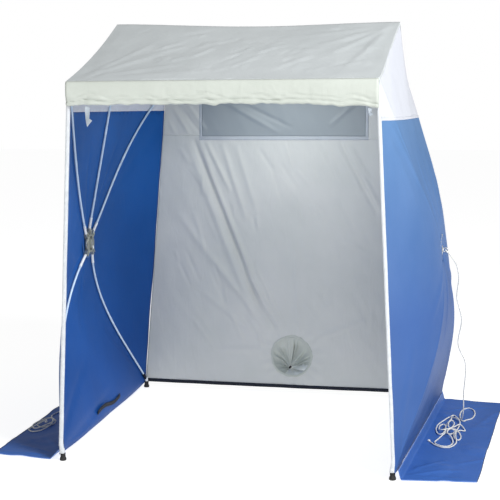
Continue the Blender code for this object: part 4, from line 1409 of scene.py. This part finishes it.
def hub_details(side_name, side, at, body):
    """The cover's boss with its two bores, its bright catch, and the bolt with its eye."""
    inner = (-side, 0, 0)
    boss = [(0.0095, 0.012), (0.015, 0.0122), (0.0162, 0.0132), (0.0162, 0.015)]
    boss += [(0.0148, 0.0162), (0.0105, 0.0162), (0.0095, 0.015)]
    ring = revolve(f"{side_name}_hub_boss", boss, inner, at, 48, ALLOY, 30.0)
    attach(ring, body)
    for n, (y, z) in enumerate(((0.002, 0.027), (-0.004, -0.0265))):
        well = [(0, 0.01), (0.0052, 0.0101), (0.006, 0.0108), (0.0066, 0.0122), (0.0074, 0.012)]
        well += [(0.0078, 0.0098), (0, 0.0096)]
        name, place = f"{side_name}_hub_well_{n}", at + Vector((0, y, z))
        hole = revolve(name, well, inner, place, 32, PLASTIC)
        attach(hole, body)
    bm = bmesh.new()
    add_block(bm, (0.004, 0.011, 0.016), 0.0012)
    catch = object_of(f"{side_name}_hub_catch", finish_mesh("catch", bm, 35.0), FERRULE)
    catch.location = at + Vector((-side * 0.013, 0.022, -0.022))
    catch.rotation_euler = (math.radians(35), 0, 0)
    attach(catch, body)
    washer = [(0.0048, 0.0102), (0.021, 0.0102), (0.022, 0.0108), (0.0222, 0.0118)]
    washer += [(0.0214, 0.0128), (0.0048, 0.0132)]
    disc = revolve(f"{side_name}_hub_disc", washer, (side, 0, 0), at, 48, STEEL, 30.0)
    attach(disc, body)
    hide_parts(f"{side_name}_hub_washer")
    stem = [(0, -0.0172), (0.006, -0.017), (0.0082, -0.0158), (0.0086, -0.014), (0.0084, -0.0126)]
    stem += [(0.004, -0.0124), (0.004, 0.013), (0.0088, 0.0132), (0.0092, 0.0142)]
    stem += [(0.0088, 0.0166), (0.006, 0.0178), (0, 0.018)]
    bolt = revolve(f"{side_name}_eye_stem", stem, (side, 0, 0), at, 32, STEEL, 30.0)
    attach(bolt, body)
    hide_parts(f"{side_name}_eye_bolt")
    line = circle(at + Vector((side * EYE_REACH, 0, 0)), EYE_RING, 48, (side, 0, 0))
    eye = tube(f"{side_name}_eye", line, 0.0022, STEEL, "plated_steel", sides=14, closed=True)
    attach(eye, body)


def foot(side_name, side, corner):
    """A rubber tip with a waist, a ribbed neck and a dished sole."""
    name = f"{side_name}_{corner}_rubber_tip"
    x, y, _ = CORNERS[corner]
    inset = 0.016
    centre = Vector((side * (x - 0.01), y - math.copysign(inset, y), 0.0))
    profile = [(0, 0.0012), (0.01, 0.001), (0.0112, 0.0), (0.0138, 0.0), (0.015, 0.0016)]
    profile += [(0.0154, 0.005)]
    profile += [(0.0151, 0.0095), (0.0138, 0.012), (0.0122, 0.016), (0.0114, 0.02)]
    profile += [(0.012, 0.0212), (0.012, 0.0226), (0.0112, 0.0238), (0.0112, 0.0262)]
    profile += [(0.012, 0.0274), (0.0122, 0.029), (0.0114, 0.0302), (0.0122, 0.033)]
    profile += [(0.0118, 0.0342), (0.009, 0.0345), (0, 0.0345)]
    tip = revolve(name, profile, (0, 0, 1), centre, 48, RUBBER, 30.0)
    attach(tip, "root")
    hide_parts(f"{side_name}_{corner}_tip")
    top = Vector((centre.x, centre.y, 0.033))
    collar = [(0, 0.0), (0.0088, 0.0), (0.0092, 0.001), (0.0086, 0.012), (0.0074, 0.02)]
    collar += [(0.006, 0.024), (0, 0.024)]
    post = revolve(f"{name}_socket", collar, (0, 0, 1), top, 32, FERRULE, 30.0)
    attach(post, "root")


# Ropes

ROPE_RADIUS = 0.003
LAID = {"sides": 15, "strands": 3, "lay": 0.018}
RIGHT_HANG = [
    (0.921, 0.0, 0.893), (0.942, 0.006, 0.864), (0.96, 0.02, 0.828), (0.968, 0.05, 0.764),
    (0.958, 0.09, 0.664), (0.98, 0.12, 0.553), (0.962, 0.16, 0.426), (0.998, 0.19, 0.318),
    (0.988, 0.23, 0.164), (0.985, 0.27, 0.066), (0.976, 0.312, 0.017), (0.964, 0.372, 0.0058),
    (0.96, 0.45, 0.0055), (0.968, 0.54, 0.0055), (0.995, 0.583, 0.0055), (1.023, 0.545, 0.0055),
    (1.034, 0.45, 0.0055), (1.023, 0.36, 0.0055), (0.998, 0.325, 0.0055),
]
# The heap on the right flap: a ring, tangled loops, the long front arc and the tail.
RIGHT_HEAP = [
    (0.985, 0.3, 0.006), (0.955, 0.345, 0.007), (0.932, 0.41, 0.006), (0.918, 0.38, 0.006),
    (0.945, 0.33, 0.011), (0.968, 0.27, 0.012), (0.971, 0.19, 0.009), (0.962, 0.095, 0.008),
    (0.942, 0.03, 0.007), (0.919, 0.044, 0.007), (0.906, 0.12, 0.008), (0.91, 0.22, 0.009),
    (0.925, 0.31, 0.014), (0.912, 0.345, 0.012), (0.888, 0.29, 0.007), (0.866, 0.205, 0.006),
    (0.863, 0.11, 0.006), (0.88, 0.02, 0.007), (0.901, 0.01, 0.011), (0.912, 0.087, 0.0155),
    (0.898, 0.18, 0.014), (0.879, 0.165, 0.011), (0.88, 0.085, 0.012), (0.905, 0.06, 0.02),
    (0.935, 0.12, 0.014), (0.945, 0.21, 0.014), (0.928, 0.255, 0.0185), (0.917, 0.19, 0.0185),
    (0.928, 0.1, 0.019), (0.95, 0.12, 0.02), (0.975, 0.19, 0.015), (1.004, 0.108, 0.006),
    (0.978, 0.085, 0.012), (0.958, 0.01, 0.013), (0.965, -0.055, 0.007), (0.985, -0.072, 0.0058),
    (0.99, 0.0, 0.006), (0.968, 0.06, 0.018), (0.935, 0.06, 0.024), (0.915, 0.015, 0.016),
    (0.888, -0.07, 0.006), (0.876, -0.13, 0.0058), (0.889, -0.172, 0.0058), (0.917, -0.197, 0.0058),
    (0.945, -0.19, 0.0058), (0.96, -0.13, 0.006), (0.948, -0.05, 0.013), (0.925, 0.0, 0.022),
    (0.935, 0.045, 0.029), (0.96, 0.03, 0.023), (0.968, -0.04, 0.014), (0.975, -0.13, 0.0058),
    (0.953, -0.207, 0.0058), (0.915, -0.216, 0.0058), (0.88, -0.182, 0.0062), (0.862, -0.145, 0.006),
    (0.847, -0.115, 0.0058),
]
LEFT_HANG = [
    (-0.921, 0.0, 0.893), (-0.942, 0.004, 0.864), (-0.956, 0.01, 0.82), (-0.962, 0.02, 0.74),
    (-0.955, 0.016, 0.64), (-0.964, 0.0, 0.54), (-0.958, -0.02, 0.43), (-0.97, -0.03, 0.31),
    (-0.972, -0.04, 0.18), (-0.984, -0.03, 0.08), (-0.996, -0.01, 0.023), (-1.028, 0.03, 0.0062),
    (-1.038, 0.085, 0.0055), (-1.062, 0.122, 0.0055), (-1.09, 0.1, 0.0055), (-1.098, 0.05, 0.0055),
]
LEFT_HEAP = [
    (-1.1, -0.01, 0.0056), (-1.075, -0.06, 0.0058), (-1.038, -0.11, 0.006), (-1.03, -0.18, 0.006),
    (-1.06, -0.24, 0.006), (-1.098, -0.21, 0.0087), (-1.102, -0.14, 0.0127), (-1.068, -0.095, 0.0155),
    (-1.034, -0.14, 0.0155), (-1.042, -0.22, 0.0155), (-1.078, -0.28, 0.0087), (-1.108, -0.24, 0.0141),
    (-1.094, -0.16, 0.0209), (-1.055, -0.12, 0.0236), (-1.026, -0.2, 0.0141), (-1.04, -0.29, 0.006),
    (-1.072, -0.33, 0.0058), (-1.105, -0.3, 0.0058), (-1.11, -0.26, 0.006), (-1.09, -0.215, 0.0148),
    (-1.065, -0.17, 0.0269), (-1.053, -0.205, 0.0249),
]


def knot(name, at, size, lean):
    """An overhand knot pulled tight: a short trefoil of rope."""
    line = []
    for k in range(72):
        t = math.tau * k / 72
        x, y = math.sin(t) + 2 * math.sin(2 * t), math.cos(t) - 2 * math.cos(2 * t)
        flat = Vector((x, y, -math.sin(3 * t) * 1.25))
        line.append(Vector(at) + Matrix.Rotation(lean, 3, "Y") @ (flat * size / 3))
    return tube(name, line, ROPE_RADIUS, ROPE, "guy_rope", closed=True, **LAID)


def guy_rope(side_name, side, hang, heap):
    """The whole rope from the hub's eye to its loose end, as one twisted tube."""
    body = f"{side_name}_hub_set"
    route = smooth_route(hang + heap, 10)
    line = even(route, 0.0032)
    made = tube(f"{side_name}_rope", line, ROPE_RADIUS, ROPE, "guy_rope", **LAID)
    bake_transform(made)
    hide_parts(f"{side_name}_guy_rope", f"{side_name}_rope_pile")
    top = knot(f"{side_name}_rope_knot", (side * 0.9225, 0, 0.8925), 0.0062, 0.6)
    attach(top, body)
    middle = Vector((side * (HINGE_X + EYE_REACH + 0.0057), 0, HUB_HEIGHT - 0.0057))
    long, short = Vector((side, 0, -1)).normalized() * 0.0082, (0, 0.007, 0)
    loop = circle(middle, 1, 40, long, short)
    eye_loop = tube(f"{side_name}_rope_loop", loop, 0.0028, ROPE, "guy_rope", closed=True, **LAID)
    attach(eye_loop, body)
    end = line[-1]
    tail = knot(f"{side_name}_rope_end_knot", (end.x, end.y, max(end.z, 0.0075)), 0.0044, 0.0)
    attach(tail, "root")


# Camera, light and floor


def camera():
    """Standing height, from the front and a little to the right."""
    data = bpy.data.cameras.new("camera")
    data.sensor_width = 36.0
    data.lens = 90.96
    data.clip_end = 100.0
    made = bpy.data.objects.new("camera", data)
    bpy.context.collection.objects.link(made)
    yaw, pitch, roll = 0.225, -0.113, -0.0058
    ahead = Vector((-math.sin(yaw) * math.cos(pitch), math.cos(yaw) * math.cos(pitch), math.sin(pitch)))
    right = Vector((math.cos(yaw), math.sin(yaw), 0))
    up = right.cross(ahead)
    across = right * math.cos(roll) + up * math.sin(roll)
    above = up * math.cos(roll) - right * math.sin(roll)
    turn = Matrix((across, above, -ahead)).transposed().to_4x4()
    made.matrix_world = Matrix.Translation((1.331, -6.015, 1.588)) @ turn
    bpy.context.scene.camera = made


def area_light(name, at, aim, size, power, colour=(1, 1, 1)):
    data = bpy.data.lights.new(name, "AREA")
    data.shape = "DISK"
    data.size = size
    data.energy = power
    data.color = colour
    made = bpy.data.objects.new(name, data)
    bpy.context.collection.objects.link(made)
    made.location = at
    made.rotation_euler = (Vector(aim) - Vector(at)).to_track_quat("-Z", "Y").to_euler()
    return made


def studio():
    """A pale floor under a white sky, a broad key light from the right and a soft fill."""
    bpy.context.scene.view_settings.view_transform = "Standard"
    bm = bmesh.new()
    bmesh.ops.create_grid(bm, x_segments=4, y_segments=4, size=40.0)
    data = finish_mesh("floor", bm)
    finish, nodes, links, shader = new_material("studio_floor", 0.9)
    cloud = add_node(nodes, "ShaderNodeTexNoise", Scale=0.6)
    ramp = add_node(nodes, "ShaderNodeValToRGB")
    ramp.color_ramp.elements[0].color = (0.44, 0.44, 0.44, 1)
    ramp.color_ramp.elements[1].color = (0.47, 0.47, 0.47, 1)
    links.new(cloud.outputs["Fac"], ramp.inputs["Fac"])
    links.new(ramp.outputs["Color"], shader.inputs["Base Color"])
    shader.inputs["Emission Color"].default_value = (1, 1, 1, 1)
    shader.inputs["Emission Strength"].default_value = 0.82
    floor = bpy.data.objects.new("floor", data)
    data.materials.append(finish)
    bpy.context.collection.objects.link(floor)
    floor.location.z = -0.0015
    world = bpy.data.worlds.new("studio")
    bpy.context.scene.world = world
    world.use_nodes = True
    nodes, links = world.node_tree.nodes, world.node_tree.links
    sky = nodes["Background"]
    seen = nodes.new("ShaderNodeLightPath")
    strength = nodes.new("ShaderNodeMapRange")
    strength.inputs["To Min"].default_value = 0.32
    strength.inputs["To Max"].default_value = 1.0
    links.new(seen.outputs["Is Camera Ray"], strength.inputs["Value"])
    links.new(strength.outputs["Result"], sky.inputs["Strength"])
    sky.inputs["Color"].default_value = (1, 1, 1, 1)
    area_light("key", (4.6, -4.2, 5.0), (0, 0, 1.0), 2.0, 490)
    area_light("fill", (1.6, -7.0, 2.0), (0, 0.2, 0.9), 2.4, 60)
    glow = area_light("through_roof", (0, 0.15, 1.67), (0, 0.25, 0), 1.0, 7, (0.98, 1.0, 0.98))
    glow.visible_camera = False


# The object

camera()
guy_rope("right", 1, RIGHT_HANG, RIGHT_HEAP)
guy_rope("left", -1, LEFT_HANG, LEFT_HEAP)
side_walls()
roof()
rear_wall()
window()
port()
rolled_door()
base_webbing()
poles()
for side_name, side in SIDES.items():
    front_binding(side_name, side)
    ground_flap(side_name, side)
    hub(side_name, side)
    for rod in RODS:
        side_rod(side_name, side, rod)
    for corner in FEET:
        foot(side_name, side, corner)
tie_strap("left", (-0.587, -0.7895, 1.594), 0.023, 0.088)
tie_strap("right", (0.646, -0.7895, 1.58), 0.016, 0.034)
studio()
